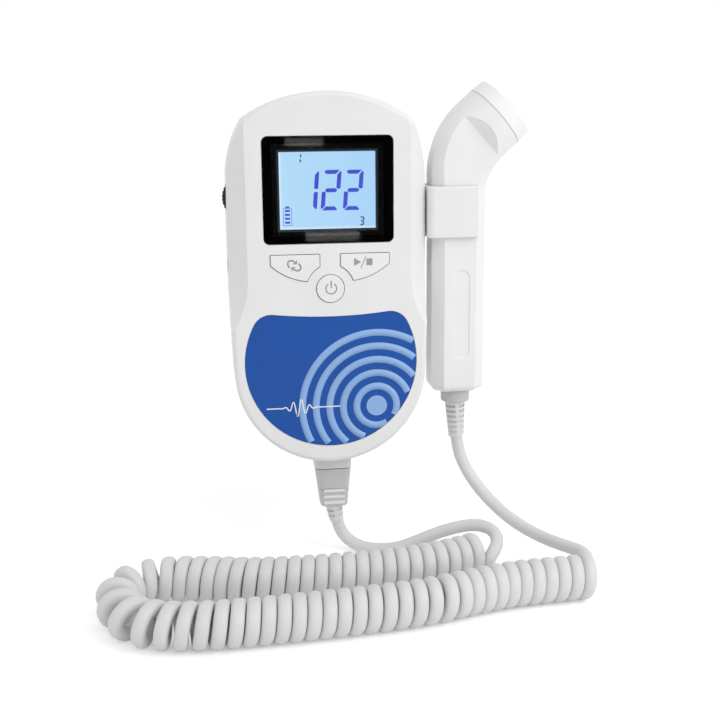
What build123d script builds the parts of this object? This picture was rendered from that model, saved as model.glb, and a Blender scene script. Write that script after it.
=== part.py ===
from build123d import *
import math
import os

os.makedirs("parts", exist_ok=True)

# Hand-held ultrasound heartbeat monitor: a display unit, a bent probe held in a clip on the
# unit's side, and a curly cord between them that lies on the surface below.
#
# Millimetres. The origin is on the back of the housing, where a hand holds it. +X is the
# viewer's right, +Y points away from the viewer and +Z is up. A "depth" is a distance in
# front of the housing's back face, that is, along -Y.

# ---------------------------------------------------------------- driving dimensions

# Housing
DEPTH = 32.0            # whole thickness, back face to front face
SPLIT = 20.0            # depth of the parting line between the two shells
WALL = 2.2
TOP_Z = 66.9
TOP_R = 51.3            # radius of the domed top edge
SHOULDER_X = 29.3       # where the domed top meets the side
SHOULDER = (34.0, 47.5)  # a point half way round the shoulder
HIP = (35.7, 35.0)      # upper end of the long, slightly bowed side
WAIST = (35.85, 1.0)    # widest point
BOTTOM_R = 34.95
BOTTOM_CENTRE_Z = -32.0
FRONT_EDGE_R = 1.8
BACK_EDGE_R = 5.0
BEVEL_DEPTH = 7.6       # the side bevels end this far behind the front face
BEVEL_END_Z = 3.0       # below this the bevels run out sideways
BEVEL_RUNOUT_R = 38.0
BEYOND = 90.0           # longer than any side of the unit, for cuts that run past it

# Display
WINDOW = (46.6, 37.8)
WINDOW_PLACE = (-0.25, 32.9)
WINDOW_R = 2.3
WINDOW_T = 1.3
LCD = (38.4, 31.0)
LCD_T = 2.2
BACKLIGHT_T = 2.6

# Front label
LABEL_R = 31.4
LABEL_CENTRE_Z = -29.1
LABEL_TOP_Z = -10.3     # where the concave top edge meets the round side
LABEL_DIP_Z = -12.1
LABEL_CORNER_R = 7.0
LABEL_RECESS = 0.5
LABEL_T = 0.4

# Buttons
BUTTON_GAP = 0.25
BUTTON_PROUD = 0.5
BUTTON_TOP_Z = 10.3
BUTTON_INNER_X = 3.75
BUTTON_OUTER_X = 21.2
POWER_Z = -2.05
POWER_R = 4.95
POWER_MOAT_R = 8.75     # the side buttons are hollowed out around the power button

# Inside the housing
BOARD_FRONT = 24.6      # depth of the circuit board's front face
BOARD_T = 1.6
BOARD_INSET = 5.5
BOARD_BOTTOM_Z = -55.0
MEMBRANE_T = 0.8
HOLDER_SCREWS = [(-15.0, 18.5), (-15.0, 29.0)]  # Y and Z of the screws that hold the probe's clip
HOLDER_SCREW_X = 32.0   # their holes in the shell's side start here
HOLDER_SCREW_REACH = 6.0
POSTS = [(26.5, 48.0), (-26.5, 48.0), (26.0, -38.0), (-26.0, -38.0)]
POST_R = 3.3
SCREW_R = 1.2
SCREW_HEAD_R = 2.4
SCREW_HEAD_T = 2.0
SCREW_REACH = 14.0      # length of a housing screw below its head
SCREW_PILOT = 7.5       # depth of the screw holes in the front shell's posts
SCREW_WELL = 12.0       # depth of the wells that the heads sit in
SCREW_WELL_R = 2.6
CROSS_SLOT = (3.0, 0.7, 1.0)  # length, width and depth of the cross in a screw head

# Volume wheel
WHEEL_R = 7.9
WHEEL_T = 3.0
WHEEL_NOTCHES = 36
WHEEL_NOTCH_R = 0.3
WHEEL_CENTRE = (-29.25, 29.9)
WHEEL_BACK = 16.6       # depth of the wheel's rear face
SHAFT_R = 2.0
SHAFT_CLEARANCE = 0.05

# Headphone jack
JACK_Z = 6.0
JACK_BORE_R = 1.78
JACK_BORE_LENGTH = 12.0
JACK_BARREL_R = 2.8
JACK_FACE_X = -35.9
JACK_HOLE = 5.0         # depth of the hole for the jack, from outside the shells
JACK_BARREL_LENGTH = 4.0
JACK_BODY = (11.0, 6.4)  # length and height of the jack's block

# Speaker
SPEAKER_Z = 36.0
SPEAKER_R = 13.0
MAGNET_R = 7.5
MAGNET_BACK = 9.4       # depth of the magnet's far face
MAGNET_FRONT = 5.6
VOICE_COIL_R = 4.0
GRILLE_ROWS = [(4.5, 6), (9.0, 12)]  # radius and number of holes of each ring
GRILLE_HOLE_R = 1.0

# Battery compartment and cover
TRAY = (32.6, 54.5)     # inside width and height
TRAY_Z = -25.75
TRAY_DEPTH = 17.0
TRAY_WALL = 1.5
COVER_HALF_WIDTH = 18.5
COVER_TOP_Z = 4.0
COVER_T = 1.8
COVER_GRIP = (16.0, 1.0, 0.5)  # length, width and depth of each grip groove
COVER_GRIP_PITCH = 2.4
COVER_GRIP_Z = -8.0
CELL_R = 7.1
CELL_LENGTH = 49.2
CELL_X = 7.6
CELL_DEPTH = 9.2

# Probe holder and probe
PROBE_X = 48.85         # the handle's centre line
PROBE_DEPTH = 17.0
HANDLE = (19.8, 18.0)   # width and thickness
HANDLE_CUT = 4.0        # corner cut of the eight-sided handle
HANDLE_BOTTOM_Z = -44.2
HANDLE_TOP_Z = 32.2     # the bend starts here
HANDLE_END_R = 3.0
BEND_R = 28.0
BEND_ANGLE = 48.5       # from straight up towards +X
HEAD_R = 12.7
ROUND_SHARE = 0.89      # share of the bend over which the handle becomes round
SWELL_POWER = 0.6       # below 1, it swells sooner
PROBE_WALL = 2.0
CLIP_GAP = 0.3
CLIP_WALL = 2.2
CLIP_BOTTOM_Z = 14.5
CLIP_TOP_Z = 33.0
CLIP_OPEN_X = 55.0      # the clip is open beyond this
SEAM = 18.55            # the shells end this far along the head
SEAM_GAP = 0.3
CAP_LENGTH = 5.25
CAP_EDGE_R = 0.7
FLAT_END = 9.5          # the flat front face ends this far along the head
CLIP_CORNER_R = 2.4
COLLAR_X = 49.2         # the cord's exit is a little off the handle's centre line
COLLAR_R = 5.45
COLLAR_LENGTH = 4.9

# Plug and its socket
PLUG_X = 1.2
PLUG_DEPTH = 18.0
SOCKET = (14.0, 10.5)
SOCKET_BOTTOM_Z = -72.3
SOCKET_TOP_Z = -58.0
SOCKET_SLOT = 15.0      # height of the notch for the socket in the shells
CAVITY = (10.4, 7.0)
CAVITY_TOP_Z = -63.0
PLUG_TOP_Z = -72.6
PLUG_BOTTOM_Z = -87.9
PLUG_END = (10.2, 8.4)
NOSE = (9.8, 5.8)
NOSE_TOP_Z = -63.8
CONTACT_BOTTOM_Z = -71.5
CONTACT_TOP_Z = -51.5

# Cord
CORD_D = 4.7
COIL_D = 15.8
FLOOR_Z = -107.1        # the surface that the cord lies on
BEND_SHARE = 0.45       # share of the shorter run that each arc of a cord takes up
lead_z = FLOOR_Z + CORD_D / 2
coil_z = FLOOR_Z + COIL_D / 2

# Corners of the cord's routes. The plug's lead comes down to the surface and then climbs to the
# top of the coil's rear end; the probe's lead hangs over to the top of its front end.
PLUG_LEAD = [
    (2.6, -18.0, -94.2), (3.6, -18.0, -98.4), (6.4, -19.4, -102.3), (11.2, -22.8, lead_z),
    (18.0, -26.6, lead_z), (25.4, -28.8, -103.6), (33.0, -30.4, -100.2), (41.0, -32.8, -96.2),
    (48.6, -37.0, -93.2), (54.2, -43.0, -91.9), (54.9, -50.0, -93.3),
]
COIL_AXIS = [
    (54.2, -47.4, coil_z), (44.0, -52.3, coil_z), (31.6, -56.9, coil_z), (12.0, -60.2, coil_z),
    (-12.0, -61.4, coil_z), (-32.0, -60.4, coil_z), (-46.0, -58.8, coil_z), (-58.0, -59.0, coil_z),
    (-69.6, -63.0, coil_z), (-76.9, -71.6, coil_z), (-77.2, -81.4, coil_z), (-70.0, -89.4, coil_z),
    (-58.5, -93.0, coil_z), (-44.0, -93.8, coil_z), (-18.4, -92.3, coil_z), (8.0, -89.8, coil_z),
    (26.0, -87.0, coil_z), (42.0, -81.4, coil_z), (60.0, -77.0, coil_z), (85.8, -75.8, coil_z),
]
PROBE_LEAD = [
    (49.9, -17.0, -63.1), (50.7, -17.2, -68.6), (53.0, -18.2, -75.6), (56.8, -21.5, -82.0),
    (61.0, -27.5, -87.0), (66.0, -37.0, -89.9), (70.4, -48.0, -91.8), (75.4, -59.0, -92.2),
    (80.2, -68.5, -92.0), (81.2, -77.0, -93.9),
]


def depth_plane(depth):
    """Plane parallel to the front face at a depth; its sketches are drawn in X and Z."""
    return Plane.XZ.offset(depth)


def save(part, name):
    part.label = name
    export_step(part, f"parts/{name}.step")


# ---------------------------------------------------------------- housing

def housing_outline(inset=0.0):
    """Front outline of the housing: domed top, shoulders, bowed sides and a round bottom."""
    top_angle = math.degrees(math.asin(SHOULDER_X / TOP_R))
    with BuildSketch() as outline:
        with BuildLine():
            top = CenterArc((0, TOP_Z - TOP_R), TOP_R, 90 - top_angle, top_angle)
            ThreePointArc(top @ 0, SHOULDER, HIP)
            ThreePointArc(HIP, WAIST, (BOTTOM_R, BOTTOM_CENTRE_Z))
            CenterArc((0, BOTTOM_CENTRE_Z), BOTTOM_R, -90, 90)
            mirror(about=Plane.YZ)
        make_face()
        if inset:
            offset(amount=-inset)
    return outline.sketch


def side_bevels(inset):
    """Cutters for the two slanted sides of the front, moved inwards by an inset."""
    run = HIP[0] - SHOULDER_X
    slant = math.hypot(run, BEVEL_DEPTH)
    shift = (-inset * BEVEL_DEPTH / slant, inset * run / slant)
    reach = 2.0
    far = BEVEL_DEPTH + 5.0
    crease = (SHOULDER_X + shift[0], -DEPTH + shift[1])
    slope = run / BEVEL_DEPTH
    outer_x = 48.0
    with BuildPart() as cutter:
        with BuildLine(Plane((0, crease[1], 0), x_dir=(1, 0, 0), z_dir=(0, -1, 0))):
            down = Line((crease[0], TOP_Z + 8), (crease[0], BEVEL_END_Z))
            JernArc(down @ 1, down % 1, BEVEL_RUNOUT_R, 44)
        with BuildSketch(Plane.XY.offset(TOP_Z + 8)):
            Polygon(
                (crease[0] - reach * slope, crease[1] - reach),
                (crease[0] + far * slope, crease[1] + far),
                (outer_x, crease[1] + far),
                (outer_x, crease[1] - reach),
                align=None,
            )
        sweep()
        mirror(about=Plane.YZ)
    return cutter.part


def housing_block(inset, back, front, front_r=0.0, back_r=0.0):
    """Solid of the housing's outline between two depths, drawn in by an inset."""
    with BuildPart() as block:
        with BuildSketch(depth_plane(back)):
            add(housing_outline(inset))
        extrude(amount=front - back)
        if front_r:
            fillet(block.faces().sort_by(Axis.Y)[0].edges(), radius=front_r)
        if back_r:
            fillet(block.faces().sort_by(Axis.Y)[-1].edges(), radius=back_r)
    return block.part


def label_face(inset=0.0):
    """Round label with a concave top edge, drawn in by an inset."""
    radius = LABEL_R - inset
    top_z = LABEL_TOP_Z - inset
    edge_x = math.sqrt(radius**2 - (top_z - LABEL_CENTRE_Z) ** 2)
    with BuildSketch() as face:
        with BuildLine():
            dip = ThreePointArc((edge_x, top_z), (0, LABEL_DIP_Z - inset), (-edge_x, top_z))
            ThreePointArc(dip @ 1, (0, LABEL_CENTRE_Z - radius), dip @ 0)
        make_face()
        fillet(face.vertices(), radius=LABEL_CORNER_R - inset)
    return face.sketch


def side_button_face(grow):
    """Outline of the left button: flat top, hollowed beside the power button, round below."""
    with BuildSketch() as face:
        with BuildLine():
            tip = (-8.3, 0.8)
            Polyline(
                (-BUTTON_OUTER_X, 6.7),
                (-BUTTON_OUTER_X, BUTTON_TOP_Z),
                (-BUTTON_INNER_X, BUTTON_TOP_Z),
                (-BUTTON_INNER_X, 6.0),
            )
            moat_x = -POWER_MOAT_R * math.cos(math.radians(45))
            moat_z = POWER_Z + POWER_MOAT_R * math.sin(math.radians(45))
            ThreePointArc((-BUTTON_INNER_X, 6.0), (moat_x, moat_z), tip)
            ThreePointArc(tip, (-15.4, 2.8), (-BUTTON_OUTER_X, 6.7))
        make_face()
        fillet(face.vertices(), radius=0.25)
        if grow:
            offset(amount=grow)
    return face.sketch


outer_front = housing_block(0, SPLIT, DEPTH, front_r=FRONT_EDGE_R)
inner_front = housing_block(WALL, SPLIT, DEPTH - WALL)
left_button = side_button_face(0)
left_button_hole = side_button_face(BUTTON_GAP)

with BuildPart() as front_cavity:
    add(inner_front)
    add(side_bevels(WALL), mode=Mode.SUBTRACT)
    with BuildSketch(depth_plane(SPLIT)):
        with Locations(*POSTS):
            Circle(POST_R)
    extrude(amount=DEPTH - SPLIT, mode=Mode.SUBTRACT)

with BuildPart() as front_housing:
    add(outer_front)
    add(side_bevels(0), mode=Mode.SUBTRACT)
    add(front_cavity.part, mode=Mode.SUBTRACT)
    with BuildSketch(depth_plane(DEPTH)):
        with Locations(WINDOW_PLACE):
            RectangleRounded(*WINDOW, WINDOW_R)
    extrude(amount=-WINDOW_T - 0.1, mode=Mode.SUBTRACT)
    with BuildSketch(depth_plane(DEPTH)):
        with Locations(WINDOW_PLACE):
            Rectangle(LCD[0] + 1.2, LCD[1] + 1.2)
    extrude(amount=-WALL * 2, mode=Mode.SUBTRACT)
    with BuildSketch(depth_plane(DEPTH)):
        add(label_face())
    extrude(amount=-LABEL_RECESS, mode=Mode.SUBTRACT)
    with BuildSketch(depth_plane(DEPTH)):
        add(left_button_hole)
        mirror(left_button_hole, about=Plane.YZ)
        with Locations((0, POWER_Z)):
            Circle(POWER_R + BUTTON_GAP)
    extrude(amount=-WALL * 2, mode=Mode.SUBTRACT)
    with BuildSketch(depth_plane(SPLIT)):
        with Locations(*POSTS):
            Circle(SCREW_R)
    extrude(amount=SCREW_PILOT, mode=Mode.SUBTRACT)
    with BuildSketch(Plane.YZ.offset(JACK_FACE_X - 2)):
        with Locations((-SPLIT, JACK_Z)):
            Circle(JACK_BARREL_R + 0.15)
    extrude(amount=JACK_HOLE, mode=Mode.SUBTRACT)
    with BuildSketch(Plane.XY.offset(SOCKET_TOP_Z)):
        with Locations((PLUG_X, -PLUG_DEPTH)):
            RectangleRounded(SOCKET[0] + 0.2, SOCKET[1] + 0.2, 2.6)
    extrude(amount=-SOCKET_SLOT, mode=Mode.SUBTRACT)
save(front_housing.part, "front_housing")

outer_rear = housing_block(0, 0, SPLIT, back_r=BACK_EDGE_R)
inner_rear = housing_block(WALL, WALL, SPLIT, back_r=BACK_EDGE_R - WALL)
LEDGE_T = 1.7           # shell left under the battery cover
cover_recess = COVER_T + 0.1
cover_gap = 0.2
TONGUE = (0.9, 0.8)     # tongues along the cover's sides: reach and thickness
TONGUE_DEPTH = 1.25
TONGUE_TOP_Z = -1.0
TONGUE_LENGTH = 46.0

with BuildPart() as rear_cavity:
    add(inner_rear)
    with BuildSketch(depth_plane(0)):
        with Locations(*POSTS):
            Circle(POST_R)
    extrude(amount=SPLIT, mode=Mode.SUBTRACT)
    with BuildSketch(depth_plane(0)):
        with Locations((0, COVER_TOP_Z + 2.5)):
            Rectangle(2 * COVER_HALF_WIDTH + 5, BEYOND, align=(Align.CENTER, Align.MAX))
    extrude(amount=cover_recess + LEDGE_T, mode=Mode.SUBTRACT)
    with BuildSketch(depth_plane(0)):
        with Locations((0, TRAY_Z)):
            Rectangle(TRAY[0] + 2 * TRAY_WALL, TRAY[1] + 2 * TRAY_WALL)
    extrude(amount=TRAY_DEPTH + TRAY_WALL, mode=Mode.SUBTRACT)

with BuildPart() as rear_housing:
    add(outer_rear)
    add(rear_cavity.part, mode=Mode.SUBTRACT)
    with BuildSketch(depth_plane(0)):
        with Locations((0, COVER_TOP_Z + cover_gap)):
            Rectangle(2 * (COVER_HALF_WIDTH + cover_gap), BEYOND, align=(Align.CENTER, Align.MAX))
    extrude(amount=cover_recess, mode=Mode.SUBTRACT)
    with BuildSketch(depth_plane(TONGUE_DEPTH - TONGUE[1] / 2 - 0.1)):
        with Locations((0, TONGUE_TOP_Z + 2)):
            groove_width = 2 * (COVER_HALF_WIDTH + TONGUE[0] + cover_gap)
            Rectangle(groove_width, BEYOND, align=(Align.CENTER, Align.MAX))
    extrude(amount=TONGUE[1] + 0.2, mode=Mode.SUBTRACT)
    with BuildSketch(depth_plane(0)):
        with Locations((0, TRAY_Z)):
            Rectangle(*TRAY)
    extrude(amount=TRAY_DEPTH, mode=Mode.SUBTRACT)
    with BuildSketch(depth_plane(0)):
        with Locations(*POSTS):
            Circle(SCREW_R + 0.2)
    extrude(amount=SPLIT, mode=Mode.SUBTRACT)
    with BuildSketch(depth_plane(0)):
        with Locations(*POSTS):
            Circle(SCREW_WELL_R)
    extrude(amount=SCREW_WELL, mode=Mode.SUBTRACT)
    with BuildSketch(depth_plane(0)):
        with Locations((0, SPEAKER_Z)):
            Circle(GRILLE_HOLE_R)
            for ring_r, count in GRILLE_ROWS:
                with PolarLocations(ring_r, count):
                    Circle(GRILLE_HOLE_R)
    extrude(amount=WALL + 1, mode=Mode.SUBTRACT)
    with BuildSketch(depth_plane(WHEEL_BACK - 0.4)):
        with Locations(WHEEL_CENTRE):
            Circle(WHEEL_R + 0.4)
    extrude(amount=SPLIT, mode=Mode.SUBTRACT)
    with BuildSketch(Plane.YZ.offset(JACK_FACE_X - 2)):
        with Locations((-SPLIT, JACK_Z)):
            Circle(JACK_BARREL_R + 0.15)
    extrude(amount=JACK_HOLE, mode=Mode.SUBTRACT)
    with BuildSketch(Plane.XY.offset(SOCKET_TOP_Z)):
        with Locations((PLUG_X, -PLUG_DEPTH)):
            RectangleRounded(SOCKET[0] + 0.2, SOCKET[1] + 0.2, 2.6)
    extrude(amount=-SOCKET_SLOT, mode=Mode.SUBTRACT)
    with BuildSketch(Plane.YZ.offset(HOLDER_SCREW_X)):
        with Locations(*HOLDER_SCREWS):
            Circle(SCREW_R)
    extrude(amount=HOLDER_SCREW_REACH, mode=Mode.SUBTRACT)
save(rear_housing.part, "rear_housing")

with BuildPart() as battery_cover:
    add(outer_rear)
    with BuildSketch(depth_plane(-1)):
        with Locations((0, COVER_TOP_Z)):
            Rectangle(2 * COVER_HALF_WIDTH, BEYOND, align=(Align.CENTER, Align.MAX))
    extrude(amount=1 + COVER_T, mode=Mode.INTERSECT)
    with BuildSketch(depth_plane(TONGUE_DEPTH - TONGUE[1] / 2)):
        with Locations((0, TONGUE_TOP_Z - TONGUE_LENGTH / 2)):
            Rectangle(2 * (COVER_HALF_WIDTH + TONGUE[0]), TONGUE_LENGTH)
    extrude(amount=TONGUE[1])
    with BuildSketch(depth_plane(0)):
        with Locations((0, COVER_GRIP_Z)):
            with GridLocations(0, COVER_GRIP_PITCH, 1, 5):
                SlotOverall(COVER_GRIP[0], COVER_GRIP[1])
    extrude(amount=COVER_GRIP[2], mode=Mode.SUBTRACT)
save(battery_cover.part, "battery_cover")

with BuildPart() as housing_screws:
    with BuildSketch(depth_plane(SCREW_WELL - SCREW_HEAD_T)):
        with Locations(*POSTS):
            Circle(SCREW_HEAD_R)
    extrude(amount=SCREW_HEAD_T)
    with BuildSketch(depth_plane(SCREW_WELL)):
        with Locations(*POSTS):
            Circle(SCREW_R)
    extrude(amount=SCREW_REACH)
    with BuildSketch(depth_plane(SCREW_WELL - SCREW_HEAD_T)):
        with Locations(*POSTS):
            Rectangle(CROSS_SLOT[0], CROSS_SLOT[1])
            Rectangle(CROSS_SLOT[1], CROSS_SLOT[0])
    extrude(amount=CROSS_SLOT[2], mode=Mode.SUBTRACT)
save(housing_screws.part, "housing_screws")

# ---------------------------------------------------------------- display and label

with BuildPart() as display_window:
    with BuildSketch(depth_plane(DEPTH - 0.1 - WINDOW_T)):
        with Locations(WINDOW_PLACE):
            RectangleRounded(WINDOW[0] - 0.4, WINDOW[1] - 0.4, WINDOW_R - 0.2)
    extrude(amount=WINDOW_T)
save(display_window.part, "display_window")

lcd_front = DEPTH - WINDOW_T - 0.2
with BuildPart() as lcd_panel:
    with BuildSketch(depth_plane(lcd_front - LCD_T)):
        with Locations(WINDOW_PLACE):
            Rectangle(*LCD)
    extrude(amount=LCD_T)
save(lcd_panel.part, "lcd_panel")

backlight_front = lcd_front - LCD_T
with BuildPart() as backlight:
    with BuildSketch(depth_plane(backlight_front - BACKLIGHT_T)):
        with Locations(WINDOW_PLACE):
            Rectangle(LCD[0] + 1.0, LCD[1] + 1.0)
    extrude(amount=BACKLIGHT_T)
save(backlight.part, "backlight")

with BuildPart() as display_frame:
    with BuildSketch(depth_plane(BOARD_FRONT)):
        with Locations(WINDOW_PLACE):
            Rectangle(LCD[0] + 5.2, LCD[1] + 5.2)
            Rectangle(LCD[0] + 1.2, LCD[1] + 1.2, mode=Mode.SUBTRACT)
    extrude(amount=DEPTH - WALL - BOARD_FRONT)
    with BuildSketch(depth_plane(BOARD_FRONT)):
        with Locations(WINDOW_PLACE):
            Rectangle(LCD[0] + 1.2, LCD[1] + 1.2)
    extrude(amount=backlight_front - BACKLIGHT_T - BOARD_FRONT)
save(display_frame.part, "display_frame")

with BuildPart() as label_plate:
    with BuildSketch(depth_plane(DEPTH - LABEL_RECESS)):
        add(label_face(0.15))
    extrude(amount=LABEL_T)
save(label_plate.part, "label_plate")

# ---------------------------------------------------------------- buttons

FLANGE_FRONT = DEPTH - WALL - 0.3
FLANGE_T = 1.1
FLANGE_REACH = 0.8
STEM_R = 1.5
STEM_END = 27.6         # a stem's end, 1.1 in front of the membrane's dome
SIDE_STEM_X = 13.0
SIDE_STEM_Z = 6.0


def button(face, flange, stem):
    """Button cap with a flange that keeps it behind the wall, and a stem at its back."""
    with BuildPart() as cap:
        with BuildSketch(depth_plane(FLANGE_FRONT)):
            add(face)
        extrude(amount=DEPTH + BUTTON_PROUD - FLANGE_FRONT)
        fillet(cap.faces().sort_by(Axis.Y)[0].edges(), radius=0.35)
        with BuildSketch(depth_plane(FLANGE_FRONT - FLANGE_T)):
            add(flange)
        extrude(amount=FLANGE_T)
        with BuildSketch(depth_plane(STEM_END)):
            with Locations(stem):
                Circle(STEM_R)
        extrude(amount=FLANGE_FRONT - FLANGE_T - STEM_END)
    return cap.part


save(button(left_button, side_button_face(FLANGE_REACH), (-SIDE_STEM_X, SIDE_STEM_Z)), "mode_button")
save(
    button(
        mirror(left_button, about=Plane.YZ),
        mirror(side_button_face(FLANGE_REACH), about=Plane.YZ),
        (SIDE_STEM_X, SIDE_STEM_Z),
    ),
    "start_stop_button",
)


def power_face(radius):
    with BuildSketch() as face:
        with Locations((0, POWER_Z)):
            Circle(radius)
    return face.sketch


save(button(power_face(POWER_R), power_face(POWER_R + FLANGE_REACH), (0, POWER_Z)), "power_button")

SWITCHES = [(-SIDE_STEM_X, SIDE_STEM_Z), (SIDE_STEM_X, SIDE_STEM_Z), (0, POWER_Z)]
SWITCH_R = 3.0
SWITCH_T = 0.3
MEMBRANE = (44.0, 22.0)
MEMBRANE_Z = 1.0
membrane_back = BOARD_FRONT + SWITCH_T
with BuildPart() as button_membrane:
    with BuildSketch(depth_plane(membrane_back)):
        with Locations((0, MEMBRANE_Z)):
            RectangleRounded(*MEMBRANE, 2)
    extrude(amount=MEMBRANE_T)
    with BuildSketch(depth_plane(membrane_back + MEMBRANE_T)):
        with Locations(*SWITCHES):
            Circle(SWITCH_R)
    extrude(amount=MEMBRANE_T, taper=20)
save(button_membrane.part, "button_membrane")

with BuildPart() as switch_domes:
    with BuildSketch(depth_plane(BOARD_FRONT)):
        with Locations(*SWITCHES):
            Circle(SWITCH_R)
    extrude(amount=SWITCH_T)
save(switch_domes.part, "switch_domes")

# ---------------------------------------------------------------- electronics

board_back = BOARD_FRONT - BOARD_T
with BuildPart() as main_circuit_board:
    with BuildSketch(depth_plane(board_back)):
        add(housing_outline(BOARD_INSET))
        with Locations((0, BOARD_BOTTOM_Z)):
            Rectangle(BEYOND, BEYOND, align=(Align.CENTER, Align.MAX), mode=Mode.SUBTRACT)
        with Locations(*POSTS):
            Circle(POST_R + 0.3, mode=Mode.SUBTRACT)
        with Locations(WHEEL_CENTRE):
            Circle(SHAFT_R + 0.2, mode=Mode.SUBTRACT)
    extrude(amount=BOARD_T)
save(main_circuit_board.part, "main_circuit_board")

CHIP_T = 1.4
CHIPS = [  # centre and size of each flat package on the board's rear face
    ((6, 14), (12, 12)), ((-8, 12), (8, 5)), ((24, 12), (4, 3)), ((24, 20), (4, 3)), ((24, 28), (4, 3)),
]
CAPACITORS = [(22, -46), (-22, -46)]
CAPACITOR_R = 3.0
CAPACITOR_H = 4.0
with BuildPart() as board_components:
    with BuildSketch(depth_plane(board_back - CHIP_T)):
        for centre, size in CHIPS:
            with Locations(centre):
                Rectangle(*size)
    extrude(amount=CHIP_T)
    with BuildSketch(depth_plane(board_back - CAPACITOR_H)):
        with Locations(*CAPACITORS):
            Circle(CAPACITOR_R)
    extrude(amount=CAPACITOR_H)
save(board_components.part, "board_components")

with BuildPart() as volume_wheel:
    with BuildSketch(depth_plane(WHEEL_BACK)):
        with Locations(WHEEL_CENTRE):
            Circle(WHEEL_R)
            Circle(SHAFT_R + SHAFT_CLEARANCE, mode=Mode.SUBTRACT)
            with PolarLocations(WHEEL_R, WHEEL_NOTCHES):
                Circle(WHEEL_NOTCH_R, mode=Mode.SUBTRACT)
    extrude(amount=WHEEL_T)
save(volume_wheel.part, "volume_wheel")

wheel_front = WHEEL_BACK + WHEEL_T
POT_BODY = (9.0, 11.0)
POT_SHIFT = 1.0         # the body sits this far inwards of its shaft
POT_GAP = 0.2           # between the wheel and the body
SHAFT_CAP = (1.0, 0.8)  # reach beyond the shaft, and thickness
with BuildPart() as volume_potentiometer:
    with BuildSketch(depth_plane(wheel_front + POT_GAP)):
        with Locations((WHEEL_CENTRE[0] + POT_SHIFT, WHEEL_CENTRE[1])):
            Rectangle(*POT_BODY)
    extrude(amount=board_back - wheel_front - POT_GAP)
    with BuildSketch(depth_plane(WHEEL_BACK - POT_GAP - 0.1)):
        with Locations(WHEEL_CENTRE):
            Circle(SHAFT_R)
    extrude(amount=wheel_front + 2 * POT_GAP + 0.1 - WHEEL_BACK)
    with BuildSketch(depth_plane(WHEEL_BACK - POT_GAP - 0.1 - SHAFT_CAP[1])):
        with Locations(WHEEL_CENTRE):
            Circle(SHAFT_R + SHAFT_CAP[0])
    extrude(amount=SHAFT_CAP[1])
save(volume_potentiometer.part, "volume_potentiometer")

with BuildPart() as headphone_jack:
    with BuildSketch(Plane.YZ.offset(JACK_FACE_X)):
        with Locations((-SPLIT, JACK_Z)):
            Circle(JACK_BARREL_R)
    extrude(amount=JACK_BARREL_LENGTH)
    with BuildSketch(Plane.YZ.offset(JACK_FACE_X + JACK_BARREL_LENGTH - 1)):
        with Locations((-SPLIT, JACK_Z)):
            Rectangle(2 * (board_back - SPLIT), JACK_BODY[1])
    extrude(amount=JACK_BODY[0])
    with BuildSketch(Plane.YZ.offset(JACK_FACE_X)):
        with Locations((-SPLIT, JACK_Z)):
            Circle(JACK_BORE_R)
    extrude(amount=JACK_BORE_LENGTH, mode=Mode.SUBTRACT)
save(headphone_jack.part, "headphone_jack")

# Speaker: the basket sits against the back wall, with the cone in its open rear side.
BASKET_T = 1.2
CONE_T = 0.4
CONE_RIM = 3.4          # depth of the cone's front at its rim
cone_r = SPEAKER_R - BASKET_T - 0.1
speaker_plane = Plane((0, 0, SPEAKER_Z), x_dir=(1, 0, 0), z_dir=(0, 0, 1))
with BuildPart() as speaker_frame:
    with BuildSketch(speaker_plane):
        with BuildLine():
            Polyline(
                (0, -MAGNET_BACK), (MAGNET_R, -MAGNET_BACK), (MAGNET_R, -MAGNET_FRONT),
                (SPEAKER_R, -WALL - 1.8), (SPEAKER_R, -WALL), (SPEAKER_R - BASKET_T, -WALL),
                (SPEAKER_R - BASKET_T, -WALL - 1.4), (MAGNET_R - 1, -MAGNET_FRONT + 0.6),
                (MAGNET_R - 1, -MAGNET_FRONT - 0.4), (0, -MAGNET_FRONT - 0.4), (0, -MAGNET_BACK),
            )
        make_face()
    revolve(axis=Axis((0, 0, SPEAKER_Z), (0, 1, 0)))
save(speaker_frame.part, "speaker_frame")

with BuildPart() as speaker_cone:
    with BuildSketch(speaker_plane):
        with BuildLine():
            Polyline(
                (0, -MAGNET_FRONT), (VOICE_COIL_R, -MAGNET_FRONT), (cone_r, -CONE_RIM),
                (cone_r, -CONE_RIM + CONE_T), (VOICE_COIL_R, -MAGNET_FRONT + CONE_T),
                (0, -MAGNET_FRONT + CONE_T), (0, -MAGNET_FRONT),
            )
        make_face()
    revolve(axis=Axis((0, 0, SPEAKER_Z), (0, 1, 0)))
save(speaker_cone.part, "speaker_cone")

# ---------------------------------------------------------------- batteries

CELL_SHIFT = 0.95       # each cell is pushed towards its nub by the spring at its other end
NUB_R = 2.7
NUB_LENGTH = 1.2


def battery_cell(x, up):
    """Cell lying along Z with its nub at the top (up = 1) or at the bottom (up = -1)."""
    with BuildPart() as cell:
        middle = TRAY_Z + up * CELL_SHIFT
        with Locations((x, -CELL_DEPTH, middle)):
            Cylinder(CELL_R, CELL_LENGTH)
        fillet(cell.edges().filter_by(GeomType.CIRCLE), radius=0.6)
        with Locations((x, -CELL_DEPTH, middle + up * (CELL_LENGTH + NUB_LENGTH) / 2)):
            Cylinder(NUB_R, NUB_LENGTH)
    return cell.part


save(battery_cell(-CELL_X, 1), "battery_cell_left")
save(battery_cell(CELL_X, -1), "battery_cell_right")

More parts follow.
